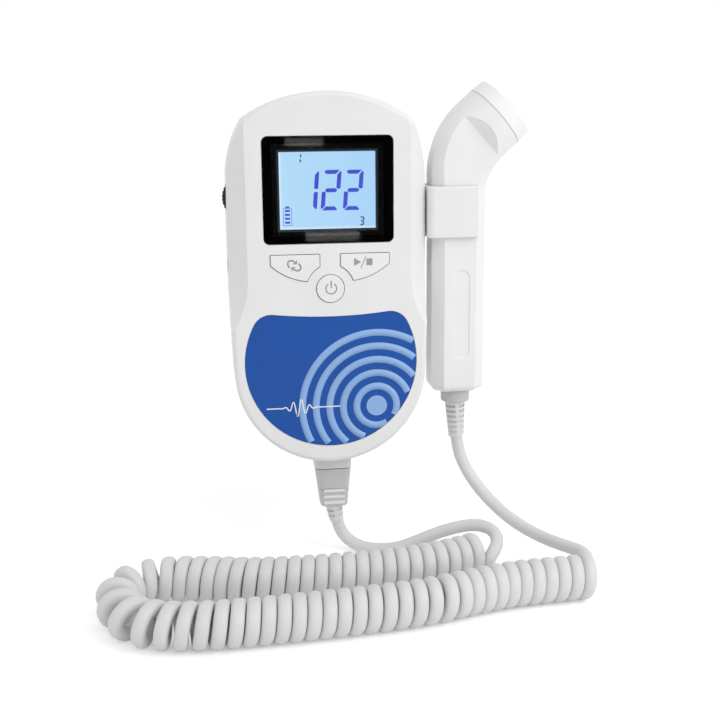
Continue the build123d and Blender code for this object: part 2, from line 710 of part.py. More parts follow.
tray_top = TRAY_Z + TRAY[1] / 2
tray_bottom = TRAY_Z - TRAY[1] / 2
PLATE_T = 0.4
PLATE = (10.0, 9.0)     # width and height of one cell's contact plate
LINK_WIDTH = 26.0       # the plate at the bottom joins both cells
with BuildPart() as battery_contacts:
    top_plate_z = tray_top - PLATE_T / 2
    with Locations((-CELL_X, -CELL_DEPTH, top_plate_z), (CELL_X, -CELL_DEPTH, top_plate_z)):
        Box(*PLATE, PLATE_T)
    with Locations((0, -CELL_DEPTH, tray_bottom + PLATE_T / 2)):
        Box(LINK_WIDTH, PLATE[1], PLATE_T)
save(battery_contacts.part, "battery_contacts")

SPRING_WIRE_R = 0.3
SPRING_R = 3.4
SPRING_PITCH = 0.85
SPRING_LENGTH = 2.3


def contact_spring(x, base_z):
    """Small compression spring standing on a contact plate."""
    with BuildPart() as spring:
        with BuildLine() as coil:
            Helix(SPRING_PITCH, SPRING_LENGTH, SPRING_R, center=(x, -CELL_DEPTH, base_z))
        with BuildSketch(Plane(coil.line @ 0, z_dir=coil.line % 0)):
            Circle(SPRING_WIRE_R)
        sweep(is_frenet=True)
    return spring.part


with BuildPart() as battery_springs:
    add(contact_spring(-CELL_X, tray_bottom + PLATE_T + SPRING_WIRE_R + 0.05))
    add(contact_spring(CELL_X, tray_top - PLATE_T - SPRING_LENGTH - SPRING_WIRE_R - 0.05))
save(battery_springs.part, "battery_springs")

# ---------------------------------------------------------------- probe holder

def octagon(width, thickness, cut, inset=0.0, cut_y=None):
    """Rectangle with cut corners, drawn in by an inset; its width is along X."""
    cut_y = cut if cut_y is None else cut_y
    less = inset * (2 - math.sqrt(2))
    half_w, half_t = width / 2 - inset, thickness / 2 - inset
    corner_x, corner_y = half_w - cut + less, half_t - cut_y + less
    with BuildSketch() as face:
        Polygon(
            (corner_x, half_t), (half_w, corner_y), (half_w, -corner_y), (corner_x, -half_t),
            (-corner_x, -half_t), (-half_w, -corner_y), (-half_w, corner_y), (-corner_x, half_t),
            align=None,
        )
    return face.sketch


def handle_plane(z):
    return Plane((PROBE_X, -PROBE_DEPTH, z))


CLIP_BASE = (4.0, 11.0)
CLIP_BASE_CENTRE = (HIP[0] + 1.2, -14.4)
CLIP_EDGE_R = 0.6
HOLDER_SCREW_R = 1.1
HOLDER_HEAD_X = 31.3    # the heads are inside the rear shell
HOLDER_SHANK = 4.8
HOLDER_PILOT = 3.7

with BuildPart() as probe_holder:
    with BuildSketch(handle_plane(CLIP_BOTTOM_Z)):
        grow = 2 * (CLIP_GAP + CLIP_WALL)
        RectangleRounded(HANDLE[0] + grow, HANDLE[1] + grow, CLIP_CORNER_R)
    extrude(amount=CLIP_TOP_Z - CLIP_BOTTOM_Z)
    with BuildSketch(Plane.XY.offset(CLIP_BOTTOM_Z)):
        with Locations(CLIP_BASE_CENTRE):
            Rectangle(*CLIP_BASE)
    extrude(amount=CLIP_TOP_Z - CLIP_BOTTOM_Z)
    with BuildSketch(handle_plane(CLIP_BOTTOM_Z)):
        add(octagon(*HANDLE, HANDLE_CUT, -CLIP_GAP))
    extrude(amount=CLIP_TOP_Z - CLIP_BOTTOM_Z, mode=Mode.SUBTRACT)
    with BuildSketch(Plane.XY.offset(CLIP_BOTTOM_Z)):
        with Locations((CLIP_OPEN_X, -PROBE_DEPTH)):
            Rectangle(BEYOND, BEYOND, align=(Align.MIN, Align.CENTER))
    extrude(amount=CLIP_TOP_Z - CLIP_BOTTOM_Z, mode=Mode.SUBTRACT)
    fillet(probe_holder.faces().sort_by(Axis.Y)[0].edges(), radius=CLIP_EDGE_R)
    add(outer_rear, mode=Mode.SUBTRACT)
    add(outer_front, mode=Mode.SUBTRACT)
    with BuildSketch(Plane.YZ.offset(HIP[0] - 1)):
        with Locations(*HOLDER_SCREWS):
            Circle(SCREW_R)
    extrude(amount=HOLDER_PILOT, mode=Mode.SUBTRACT)
save(probe_holder.part, "probe_holder")

with BuildPart() as holder_screws:
    with BuildSketch(Plane.YZ.offset(HOLDER_HEAD_X)):
        with Locations(*HOLDER_SCREWS):
            Circle(SCREW_HEAD_R)
    extrude(amount=SCREW_HEAD_T)
    with BuildSketch(Plane.YZ.offset(HOLDER_HEAD_X + SCREW_HEAD_T - 0.2)):
        with Locations(*HOLDER_SCREWS):
            Circle(HOLDER_SCREW_R)
    extrude(amount=HOLDER_SHANK)
save(holder_screws.part, "holder_screws")

# ---------------------------------------------------------------- probe

bend = math.radians(BEND_ANGLE)
head_dir = Vector(math.sin(bend), 0, math.cos(bend))
head_x = Vector(math.cos(bend), 0, -math.sin(bend))
bend_end = BEND_R * math.tan(bend / 2)  # from the bend's corner to either of its ends
bend_corner = Vector(PROBE_X, -PROBE_DEPTH, HANDLE_TOP_Z + bend_end)
BEND_STEPS = 8
FLAT_STEP = 0.05        # the bend starts this much thicker than the flats that trim it


def bend_plane(share):
    """Cross-section plane at a share of the way round the bend."""
    turn = share * bend
    centre = handle_plane(HANDLE_TOP_Z).origin + Vector(
        BEND_R * (1 - math.cos(turn)), 0, BEND_R * math.sin(turn)
    )
    along = (math.sin(turn), 0, math.cos(turn))
    return Plane(centre, x_dir=(math.cos(turn), 0, -math.sin(turn)), z_dir=along)


def head_plane(along):
    """Cross-section plane of the head at a distance from the bend's corner."""
    return Plane(bend_corner + head_dir * along, x_dir=head_x, z_dir=head_dir)


def bend_section(share, inset):
    """Section of the bend: the handle's eight sides, which swell until they are a circle."""
    rise = min(share / ROUND_SHARE, 1.0) ** SWELL_POWER
    rise = rise * rise * (3 - 2 * rise)
    less = inset * (2 - math.sqrt(2))
    half_w, half_t = HANDLE[0] / 2 - inset, HANDLE[1] / 2 - inset
    radius = HEAD_R - inset
    near, far = radius * math.sin(math.pi / 8), radius * math.cos(math.pi / 8)
    side_x = half_w + rise * (far - half_w)
    side_y = half_t - HANDLE_CUT + less + rise * (near - half_t + HANDLE_CUT - less)
    front_x = half_w - HANDLE_CUT + less + rise * (near - half_w + HANDLE_CUT - less)
    front_y = half_t + FLAT_STEP + rise * (far - half_t - FLAT_STEP)
    corners = [Vector(side_x, -side_y), Vector(side_x, side_y), Vector(front_x, front_y)]
    corners += [Vector(-front_x, front_y), Vector(-side_x, side_y), Vector(-side_x, -side_y)]
    corners += [Vector(-front_x, -front_y), Vector(front_x, -front_y)]
    swell = 0.02 + rise * (radius - far - 0.02)
    with BuildSketch() as section:
        with BuildLine():
            for start, end in zip(corners, corners[1:] + corners[:1]):
                middle = (start + end) / 2
                ThreePointArc(start, middle + middle.normalized() * swell, end)
        make_face()
    return section.sketch


def probe_form(inset, end):
    """Handle, bend and round head up to a distance along the head, drawn in by an inset."""
    with BuildPart() as form:
        bottom = HANDLE_BOTTOM_Z + inset
        with BuildSketch(handle_plane(bottom)):
            add(octagon(*HANDLE, HANDLE_CUT, inset))
        extrude(amount=HANDLE_TOP_Z - bottom)
        if not inset:
            fillet(form.faces().sort_by(Axis.Z)[0].edges(), radius=HANDLE_END_R)
        for step in range(BEND_STEPS + 1):
            share = step / BEND_STEPS
            with BuildSketch(bend_plane(share)):
                add(bend_section(share, inset))
        loft()
        with BuildSketch(head_plane(bend_end)):
            Circle(HEAD_R - inset)
        extrude(amount=end - bend_end)
        # The front and the back stay flat until a slanted step up to the round head.
        half = HANDLE[1] / 2 - inset
        flat_end = FLAT_END + inset * math.tan(math.radians(22.5))
        with BuildSketch(Plane(bend_corner, x_dir=head_dir, z_dir=head_x)):
            for side in (1, -1):
                Polygon(
                    (-BEND_R, side * half), (flat_end, side * half),
                    (flat_end + HEAD_R, side * (half + HEAD_R)), (-BEND_R, side * (half + HEAD_R)),
                    align=None,
                )
        extrude(amount=BEND_R, both=True, mode=Mode.SUBTRACT)
    return form.part


PROBE_SCREW_Z = [-34.0, 4.0]
PROBE_POST_R = 2.6
PROBE_SCREW_R = 0.9
PROBE_SCREW_HEAD_R = 1.9
PROBE_SCREW_HEAD_T = 1.4
PROBE_SCREW_REACH = 11.0
PROBE_PILOT = 6.5
PROBE_SLOT = (2.4, 0.6, 0.7)  # length, width and depth of the cross in a screw head
PROBE_WELL = 2.6        # depth of a screw's well below the rear face
CORD_HOLE_R = 2.6
PROBE_BOARD = (12.0, 50.0, 1.2)
PROBE_CHIP = (6.0, 6.0)
PROBE_CHIP_T = 1.2
PILL = (6.3, 33.5)      # width and height of the shallow recess in the handle's face
PILL_DEPTH = 0.4
PILL_SLOPE = 0.3        # its wall slopes in by this much
PILL_CENTRE = (49.45, -14.3)
probe_front = PROBE_DEPTH + HANDLE[1] / 2
probe_back = PROBE_DEPTH - HANDLE[1] / 2
screw_places = [(PROBE_X, z) for z in PROBE_SCREW_Z]

with BuildPart() as probe_cavity:
    add(probe_form(PROBE_WALL, SEAM + 1))
    with BuildSketch(depth_plane(probe_back)):
        with Locations(*screw_places):
            Circle(PROBE_POST_R)
    extrude(amount=HANDLE[1], mode=Mode.SUBTRACT)

with BuildPart() as probe_shells:
    add(probe_form(0, SEAM))
    add(probe_cavity.part, mode=Mode.SUBTRACT)
    with BuildSketch(depth_plane(PROBE_DEPTH - PROBE_BOARD[2] / 2 - 0.02)):
        with Locations(*screw_places):
            Circle(PROBE_POST_R)
    extrude(amount=PROBE_BOARD[2] + 0.04, mode=Mode.SUBTRACT)
    with BuildSketch(handle_plane(HANDLE_BOTTOM_Z - 1)):
        Circle(CORD_HOLE_R)
    extrude(amount=PROBE_WALL + 2, mode=Mode.SUBTRACT)

with BuildPart() as probe_front_shell:
    add(probe_shells.part)
    split(bisect_by=depth_plane(PROBE_DEPTH), keep=Keep.TOP)
    for deep, less in ((0, 0), (PILL_DEPTH, 2 * PILL_SLOPE)):
        with BuildSketch(depth_plane(probe_front - deep)):
            with Locations(PILL_CENTRE):
                SlotOverall(PILL[1] - less, PILL[0] - less, rotation=90)
    loft(mode=Mode.SUBTRACT)
    with BuildSketch(depth_plane(PROBE_DEPTH)):
        with Locations(*screw_places):
            Circle(PROBE_SCREW_R)
    extrude(amount=PROBE_PILOT, mode=Mode.SUBTRACT)
save(probe_front_shell.part, "probe_front_shell")

with BuildPart() as probe_rear_shell:
    add(probe_shells.part)
    split(bisect_by=depth_plane(PROBE_DEPTH), keep=Keep.BOTTOM)
    with BuildSketch(depth_plane(probe_back)):
        with Locations(*screw_places):
            Circle(PROBE_SCREW_HEAD_R + 0.2)
    extrude(amount=PROBE_WELL, mode=Mode.SUBTRACT)
    with BuildSketch(depth_plane(probe_back)):
        with Locations(*screw_places):
            Circle(PROBE_SCREW_R + 0.2)
    extrude(amount=HANDLE[1], mode=Mode.SUBTRACT)
save(probe_rear_shell.part, "probe_rear_shell")

with BuildPart() as probe_screws:
    head_plane_rear = depth_plane(probe_back + PROBE_WELL - PROBE_SCREW_HEAD_T)
    with BuildSketch(head_plane_rear):
        with Locations(*screw_places):
            Circle(PROBE_SCREW_HEAD_R)
    extrude(amount=PROBE_SCREW_HEAD_T)
    with BuildSketch(depth_plane(probe_back + PROBE_WELL)):
        with Locations(*screw_places):
            Circle(PROBE_SCREW_R)
    extrude(amount=PROBE_SCREW_REACH)
    with BuildSketch(head_plane_rear):
        with Locations(*screw_places):
            Rectangle(PROBE_SLOT[0], PROBE_SLOT[1])
            Rectangle(PROBE_SLOT[1], PROBE_SLOT[0])
    extrude(amount=PROBE_SLOT[2], mode=Mode.SUBTRACT)
save(probe_screws.part, "probe_screws")

with BuildPart() as probe_circuit_board:
    with BuildSketch(depth_plane(PROBE_DEPTH - PROBE_BOARD[2] / 2)):
        with Locations((PROBE_X, sum(PROBE_SCREW_Z) / 2)):
            Rectangle(PROBE_BOARD[0], PROBE_BOARD[1])
        with Locations(*screw_places):
            Circle(PROBE_SCREW_R + 0.2, mode=Mode.SUBTRACT)
    extrude(amount=PROBE_BOARD[2])
    with BuildSketch(depth_plane(PROBE_DEPTH + PROBE_BOARD[2] / 2)):
        with Locations((PROBE_X, -20), (PROBE_X + 1, -8)):
            Rectangle(*PROBE_CHIP)
    extrude(amount=PROBE_CHIP_T)
save(probe_circuit_board.part, "probe_circuit_board")

SPIGOT_R = HEAD_R - PROBE_WALL - 0.15
SPIGOT_WALL = 1.0
CAP_TOP_R = 12.35
CAP_DOME = 1.6
FACE_T = 1.4            # thickness of the cap over the crystals
cap_start = SEAM + SEAM_GAP
cap_end = cap_start + CAP_LENGTH
dome_r = (CAP_TOP_R**2 + CAP_DOME**2) / (2 * CAP_DOME)

with BuildPart() as probe_cap:
    with BuildSketch(Plane(bend_corner, x_dir=head_x, z_dir=head_x.cross(head_dir))):
        with BuildLine():
            inner_r = SPIGOT_R - SPIGOT_WALL
            spigot = SEAM - 2.5
            flat = cap_end - FACE_T
            Polyline(
                (0, flat), (inner_r, flat), (inner_r, spigot), (SPIGOT_R, spigot),
                (SPIGOT_R, cap_start), (HEAD_R, cap_start), (CAP_TOP_R, cap_end),
            )
            ThreePointArc(
                (CAP_TOP_R, cap_end),
                (CAP_TOP_R / 2, cap_end + math.sqrt(dome_r**2 - CAP_TOP_R**2 / 4) - dome_r + CAP_DOME),
                (0, cap_end + CAP_DOME),
            )
            Line((0, cap_end + CAP_DOME), (0, flat))
        make_face()
    revolve(axis=Axis(bend_corner, head_dir))
    rim = probe_cap.edges().filter_by(GeomType.CIRCLE)
    fillet(rim.filter_by(lambda e: abs(e.radius - CAP_TOP_R) < 0.01), radius=CAP_EDGE_R)
save(probe_cap.part, "probe_cap")

with BuildPart() as seal_ring:
    with BuildSketch(head_plane(SEAM)):
        Circle(HEAD_R - 0.15)
        Circle(SPIGOT_R + 0.1, mode=Mode.SUBTRACT)
    extrude(amount=SEAM_GAP)
save(seal_ring.part, "seal_ring")

CRYSTAL_R = 8.4
CRYSTAL_T = 1.0
crystal_back = cap_end - FACE_T - CRYSTAL_T
with BuildPart() as transducer_crystals:
    with BuildSketch(head_plane(crystal_back)):
        Circle(CRYSTAL_R)
        Rectangle(0.8, 2 * CRYSTAL_R + 1, mode=Mode.SUBTRACT)
    extrude(amount=CRYSTAL_T)
save(transducer_crystals.part, "transducer_crystals")

with BuildPart() as acoustic_backing:
    with BuildSketch(head_plane(SEAM - 2.0)):
        Circle(CRYSTAL_R + 0.7)
    extrude(amount=crystal_back - SEAM + 2.0)
save(acoustic_backing.part, "acoustic_backing")

# ---------------------------------------------------------------- strain reliefs and plug

def strain_relief(start, end, out_dir, radii, levels, first, pitch, slot):
    """Tapered sleeve from a level face to a cord, with levels of slots between four ribs.

    first is where the first level starts, and slot is a level's height and the radius of the
    core that its slots leave.
    """
    axis = (end - start).normalized()
    with BuildPart() as sleeve:
        with BuildSketch(Plane(start, z_dir=(0, 0, -1))):
            Circle(radii[0])
        with BuildSketch(Plane(end, x_dir=(0, 1, 0), z_dir=out_dir)):
            Circle(radii[1])
        loft()
        for level in range(levels):
            with BuildSketch(Plane(start + axis * (first + level * pitch), z_dir=axis)):
                with PolarLocations(radii[0], 4, start_angle=45):
                    Rectangle(2 * (radii[0] - slot[1]), radii[0] * 1.1)
            extrude(amount=slot[0], mode=Mode.SUBTRACT)
    return sleeve.part


with BuildPart() as probe_collar:
    with BuildSketch(Plane((COLLAR_X, -PROBE_DEPTH, HANDLE_BOTTOM_Z - COLLAR_LENGTH))):
        Circle(COLLAR_R)
    extrude(amount=COLLAR_LENGTH)
    fillet(probe_collar.faces().sort_by(Axis.Z)[0].edges(), radius=0.6)
save(probe_collar.part, "probe_collar")

relief_start = Vector(COLLAR_X, -PROBE_DEPTH, HANDLE_BOTTOM_Z - COLLAR_LENGTH)
relief_end = Vector(*PROBE_LEAD[0])
lead_dir = Vector(*PROBE_LEAD[1]) - relief_end
probe_strain_relief = strain_relief(
    relief_start, relief_end, lead_dir, radii=(3.85, 3.0), levels=6, first=1.3, pitch=2.05,
    slot=(1.05, 2.5),
)
save(probe_strain_relief, "probe_strain_relief")

contact_x = [PLUG_X + step * 2.0 for step in (-1.5, -0.5, 0.5, 1.5)]
NOSE_FRONT = PLUG_DEPTH + NOSE[1] / 2
CONTACT_T = 0.3
CONTACT_W = 1.1

with BuildPart() as plug_socket:
    with BuildSketch(Plane.XY.offset(SOCKET_BOTTOM_Z)):
        with Locations((PLUG_X, -PLUG_DEPTH)):
            RectangleRounded(*SOCKET, 2.5)
    extrude(amount=SOCKET_TOP_Z - SOCKET_BOTTOM_Z)
    with BuildSketch(Plane.XY.offset(SOCKET_BOTTOM_Z)):
        with Locations((PLUG_X, -PLUG_DEPTH)):
            RectangleRounded(*CAVITY, 0.8)
    extrude(amount=CAVITY_TOP_Z - SOCKET_BOTTOM_Z, mode=Mode.SUBTRACT)
    with BuildSketch(depth_plane(NOSE_FRONT + 0.25)):
        for x in contact_x:
            with Locations((x, CAVITY_TOP_Z)):
                Rectangle(CONTACT_W + 0.1, 12, align=(Align.CENTER, Align.MIN))
    extrude(amount=CONTACT_T + 0.35, mode=Mode.SUBTRACT)
save(plug_socket.part, "plug_socket")

with BuildPart() as socket_contacts:
    with BuildSketch(depth_plane(NOSE_FRONT + 0.3)):
        for x in contact_x:
            with Locations((x, CONTACT_BOTTOM_Z)):
                Rectangle(CONTACT_W, CONTACT_TOP_Z - CONTACT_BOTTOM_Z, align=(Align.CENTER, Align.MIN))
    extrude(amount=CONTACT_T)
    with BuildSketch(depth_plane(NOSE_FRONT + 0.3)):
        for x in contact_x:
            with Locations((x, CONTACT_TOP_Z)):
                Rectangle(CONTACT_W, 1.5, align=(Align.CENTER, Align.MAX))
    extrude(amount=board_back - NOSE_FRONT - 0.3)
save(socket_contacts.part, "socket_contacts")

with BuildPart() as plug_body:
    with BuildSketch(Plane.XY.offset(PLUG_TOP_Z)):
        with Locations((PLUG_X, -PLUG_DEPTH)):
            RectangleRounded(13.5, SOCKET[1], 2.3)
    with BuildSketch(Plane.XY.offset(PLUG_BOTTOM_Z)):
        with Locations((PLUG_X + 0.3, -PLUG_DEPTH)):
            RectangleRounded(*PLUG_END, 2.0)
    loft()
    fillet(plug_body.faces().sort_by(Axis.Z)[0].edges(), radius=1.0)
    for z in (-80.4, -83.0, -85.6):
        with BuildSketch(Plane.XY.offset(z)):
            with Locations((PLUG_X, -PLUG_DEPTH)):
                Rectangle(20, 20)
                RectangleRounded(11.6 + (z + 80) * 0.2, SOCKET[1] - 2.2, 1.6, mode=Mode.SUBTRACT)
        extrude(amount=-0.8, mode=Mode.SUBTRACT)
    with BuildSketch(Plane.XY.offset(PLUG_TOP_Z)):
        with Locations((PLUG_X, -PLUG_DEPTH)):
            RectangleRounded(*NOSE, 0.7)
    extrude(amount=NOSE_TOP_Z - PLUG_TOP_Z)
    with BuildSketch(depth_plane(NOSE_FRONT)):
        for x in contact_x:
            with Locations((x, NOSE_TOP_Z - 0.5)):
                Rectangle(CONTACT_W, NOSE_TOP_Z - PLUG_TOP_Z - 1, align=(Align.CENTER, Align.MAX))
    extrude(amount=-CONTACT_T, mode=Mode.SUBTRACT)
save(plug_body.part, "plug_body")

with BuildPart() as plug_contacts:
    with BuildSketch(depth_plane(NOSE_FRONT)):
        for x in contact_x:
            with Locations((x, NOSE_TOP_Z - 0.5)):
                Rectangle(CONTACT_W, NOSE_TOP_Z - PLUG_TOP_Z - 1, align=(Align.CENTER, Align.MAX))
    extrude(amount=-CONTACT_T)
save(plug_contacts.part, "plug_contacts")

plug_relief_start = Vector(PLUG_X + 0.3, -PLUG_DEPTH, PLUG_BOTTOM_Z)
plug_relief_end = Vector(*PLUG_LEAD[0])
plug_lead_dir = Vector(*PLUG_LEAD[1]) - plug_relief_end
plug_strain_relief = strain_relief(
    plug_relief_start, plug_relief_end, plug_lead_dir, radii=(3.25, 2.75), levels=2, first=1.6,
    pitch=2.1, slot=(0.9, 2.2),
)
save(plug_strain_relief, "plug_strain_relief")

# ---------------------------------------------------------------- cord

def bend_radii(points):
    """Radius at each corner, so that an arc takes up its share of the shorter run."""
    radii = []
    places = [Vector(*point) for point in points]
    for before, corner, after in zip(places, places[1:], places[2:]):
        turn = math.radians((corner - before).get_angle(after - corner))
        run = min((corner - before).length, (after - corner).length)
        radii.append(BEND_SHARE * run / math.tan(turn / 2))
    return radii


def cord_tube(name, points, diameter):
    """Round tube along straight runs that are joined by tangent arcs."""
    radii = bend_radii(points)
    with BuildPart() as tube:
        with BuildLine():
            route = FilletPolyline(*points, radius=radii)
        with BuildSketch(Plane(route @ 0, z_dir=route % 0)):
            Circle(diameter / 2)
        sweep()
    length = route.length
    print(name, "length", round(length, 1), "radii", [round(radius, 1) for radius in radii],
          "volume ratio", round(tube.part.volume / (math.pi * diameter**2 / 4 * length), 4))
    save(tube.part, name)


cord_tube("plug_lead", PLUG_LEAD, CORD_D)
cord_tube("curly_cord", COIL_AXIS, COIL_D)
cord_tube("probe_lead", PROBE_LEAD, CORD_D)
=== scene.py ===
import math

import bmesh
import bpy
from mathutils import Matrix, Vector


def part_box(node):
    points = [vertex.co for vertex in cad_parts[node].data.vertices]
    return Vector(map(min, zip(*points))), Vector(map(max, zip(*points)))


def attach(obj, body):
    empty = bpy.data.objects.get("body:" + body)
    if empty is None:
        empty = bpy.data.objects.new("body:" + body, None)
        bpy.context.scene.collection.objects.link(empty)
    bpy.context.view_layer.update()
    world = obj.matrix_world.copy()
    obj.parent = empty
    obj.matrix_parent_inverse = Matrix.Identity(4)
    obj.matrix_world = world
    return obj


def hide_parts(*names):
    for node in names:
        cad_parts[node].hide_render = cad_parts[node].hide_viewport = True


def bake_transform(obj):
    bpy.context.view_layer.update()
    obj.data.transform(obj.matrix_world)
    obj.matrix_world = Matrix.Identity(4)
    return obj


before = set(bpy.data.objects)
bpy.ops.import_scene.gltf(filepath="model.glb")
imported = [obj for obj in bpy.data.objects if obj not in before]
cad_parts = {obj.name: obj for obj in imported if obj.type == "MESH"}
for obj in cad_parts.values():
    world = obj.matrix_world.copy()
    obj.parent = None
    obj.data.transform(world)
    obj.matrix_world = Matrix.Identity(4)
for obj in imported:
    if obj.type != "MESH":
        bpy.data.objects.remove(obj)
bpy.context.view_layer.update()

# Looks of the hand-held heartbeat monitor: display unit, probe in its clip and curly cord.
# Lengths are written in millimetres and turned into metres by at() and MM.

MM = 0.001


def at(*place):
    """A place in millimetres, turned into metres."""
    return Vector(place) * MM


def box_mm(node):
    """Lowest and highest corner of a CAD node, in millimetres."""
    low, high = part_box(node)
    return low / MM, high / MM


def new_object(name, data):
    made = bpy.data.objects.new(name, data)
    bpy.context.scene.collection.objects.link(made)
    return made


# ---------------------------------------------------------------- camera

FOCAL_LENGTH = 56.5
SENSOR_WIDTH = 36.0
CAMERA_PLACE = at(-45.515, -429.42, 60.902)
CAMERA_PITCH = math.radians(12.574)   # downwards
CAMERA_YAW = math.radians(8.008)      # from +Y towards +X
CAMERA_ROLL = math.radians(-0.534)


def make_camera():
    data = bpy.data.cameras.new("camera")
    data.sensor_width = SENSOR_WIDTH
    data.lens = FOCAL_LENGTH
    data.clip_start, data.clip_end = 0.01, 20.0
    forward = Vector((
        math.sin(CAMERA_YAW) * math.cos(CAMERA_PITCH),
        math.cos(CAMERA_YAW) * math.cos(CAMERA_PITCH),
        -math.sin(CAMERA_PITCH),
    ))
    level_right = Vector((math.cos(CAMERA_YAW), -math.sin(CAMERA_YAW), 0.0))
    level_up = level_right.cross(forward)
    right = level_right * math.cos(CAMERA_ROLL) + level_up * math.sin(CAMERA_ROLL)
    up = level_up * math.cos(CAMERA_ROLL) - level_right * math.sin(CAMERA_ROLL)
    camera = new_object("camera", data)
    turn = Matrix((right, up, -forward)).transposed().to_4x4()
    camera.matrix_world = Matrix.Translation(CAMERA_PLACE) @ turn
    bpy.context.scene.camera = camera


make_camera()

# ---------------------------------------------------------------- meshes


def new_piece(name, mesh, material):
    mesh.materials.append(material)
    return new_object(name, mesh)


def mesh_of(bm, name, smooth=False):
    """A mesh from a bmesh, with its faces turned outwards."""
    bmesh.ops.recalc_face_normals(bm, faces=bm.faces)
    for face in bm.faces:
        face.smooth = smooth
    mesh = bpy.data.meshes.new(name)
    bm.to_mesh(mesh)
    bm.free()
    return mesh


def add_prism(bm, outline, front, back):
    """Closed prism over an outline in X and Z, between two places along Y, in millimetres."""
    rows = [[bm.verts.new(at(x, y, z)) for x, z in outline] for y in (front, back)]
    bm.faces.new(rows[0])
    bm.faces.new(rows[1][::-1])
    for i in range(len(outline)):
        j = (i + 1) % len(outline)
        bm.faces.new((rows[0][i], rows[1][i], rows[1][j], rows[0][j]))


def add_band(bm, outer, inner, front, back):
    """Closed ring between two outlines that have as many points as each other."""
    loops = [
        [bm.verts.new(at(x, y, z)) for x, z in outline]
        for outline, y in ((outer, front), (inner, front), (inner, back), (outer, back))
    ]
    count = len(outer)
    for a, b in zip(loops, loops[1:] + loops[:1]):
        for i in range(count):
            j = (i + 1) % count
            bm.faces.new((a[i], a[j], b[j], b[i]))


def stroke(points, width):
    """Outline of a line of even width through points in X and Z."""
    left, right = [], []
    for i, here in enumerate(points):
        before = Vector(points[max(i - 1, 0)])
        after = Vector(points[min(i + 1, len(points) - 1)])
        along = (after - before).normalized()
        side = Vector((-along.y, along.x)) * (width / 2)
        left.append(tuple(Vector(here) + side))
        right.append(tuple(Vector(here) - side))
    return left + right[::-1]


def arc(centre, radius, start, end, steps=24):
    """Points on an arc in X and Z; angles are in degrees from +X towards +Z."""
    angles = [math.radians(start + (end - start) * i / steps) for i in range(steps + 1)]
    return [
        (centre[0] + radius * math.cos(angle), centre[1] + radius * math.sin(angle))
        for angle in angles
    ]


def rounded_box(low, high, radius, steps=8):
    """Outline of a rectangle in X and Z with round corners."""
    points = []
    for corner_x, corner_z, start in (
        (high[0] - radius, high[1] - radius, 0),
        (low[0] + radius, high[1] - radius, 90),
        (low[0] + radius, low[1] + radius, 180),
        (high[0] - radius, low[1] + radius, 270),
    ):
        points += arc((corner_x, corner_z), radius, start, start + 90, steps)
    return points


# ---------------------------------------------------------------- materials


def grey(value):
    return (value, value, value, 1.0)


def colour(red, green, blue):
    return (red, green, blue, 1.0)


def feed(tree, socket, term):
    """Gives an input a fixed value, or the output of another node."""
    if isinstance(term, bpy.types.NodeSocket):
        tree.links.new(term, socket)
    else:
        socket.default_value = term


def feed_inputs(tree, node, **inputs):
    """Feeds a node's inputs; an input's name is written with _ for each space."""
    for name, term in inputs.items():
        feed(tree, node.inputs[name.replace("_", " ")], term)


def tree_node(tree, kind, **inputs):
    """Adds a node and feeds its inputs."""
    node = tree.nodes.new(kind)
    feed_inputs(tree, node, **inputs)
    return node


def operated(tree, kind, operation, first, second):
    """Outputs of a node that has an operation and two unnamed inputs."""
    node = tree.nodes.new(kind)
    node.operation = operation
    feed(tree, node.inputs[0], first)
    feed(tree, node.inputs[1], second)
    return node.outputs


def combined(tree, operation, first, second):
    """Output of a math node over two numbers or outputs."""
    return operated(tree, "ShaderNodeMath", operation, first, second)[0]


def mixed(tree, factor, first, second, blend="MIX"):
    """Output of a colour mix."""
    mix = tree.nodes.new("ShaderNodeMix")
    mix.data_type = "RGBA"
    mix.blend_type = blend
    feed_inputs(tree, mix, Factor=factor, A=first, B=second)
    return mix.outputs["Result"]


def ranged(tree, value, from_range, to_range):
    """Output of a value that is moved from one range to another and held inside it."""
    node = tree_node(
        tree, "ShaderNodeMapRange", Value=value, From_Min=from_range[0], From_Max=from_range[1],
        To_Min=to_range[0], To_Max=to_range[1],
    )
    return node.outputs["Result"]


def object_place(tree):
    """Output of the place on the object, in metres."""
    return tree.nodes.new("ShaderNodeTexCoord").outputs["Object"]


def surface_of(material):
    """A material's node tree, and its surface node."""
    material.use_nodes = True
    return material.node_tree, material.node_tree.nodes["Principled BSDF"]


NOISE_RANGE = (0.3, 0.7)    # where nearly all of a noise's values lie
GRAIN_STRENGTH = 0.6


def finish_material(
    name, light, dark, roughness, grain=0.25, grain_depth=0.02, patch=14.0, spread=0.05, **fixed
):
    """Plain coloured surface: slow patches between two tones, and a fine grain that bumps it.

    grain and patch are sizes in millimetres, and grain_depth is a height in millimetres.
    """
    material = bpy.data.materials.new(name)
    tree, surface = surface_of(material)
    place = object_place(tree)
    patches, grains = (
        tree_node(tree, "ShaderNodeTexNoise", Vector=place, Scale=1 / (size * MM), Detail=detail)
        for size, detail in ((patch, 3.0), (grain, 2.0))
    )
    patchiness = patches.outputs["Fac"]
    tone = ranged(tree, patchiness, NOISE_RANGE, (0.0, 1.0))
    rough = ranged(tree, patchiness, NOISE_RANGE, (roughness - spread, roughness + spread))
    bump = tree_node(
        tree, "ShaderNodeBump", Height=grains.outputs["Fac"], Strength=GRAIN_STRENGTH,
        Distance=grain_depth * MM,
    )
    feed_inputs(
        tree, surface, Base_Color=mixed(tree, tone, dark, light), Roughness=rough,
        Normal=bump.outputs["Normal"], **fixed,
    )
    return material


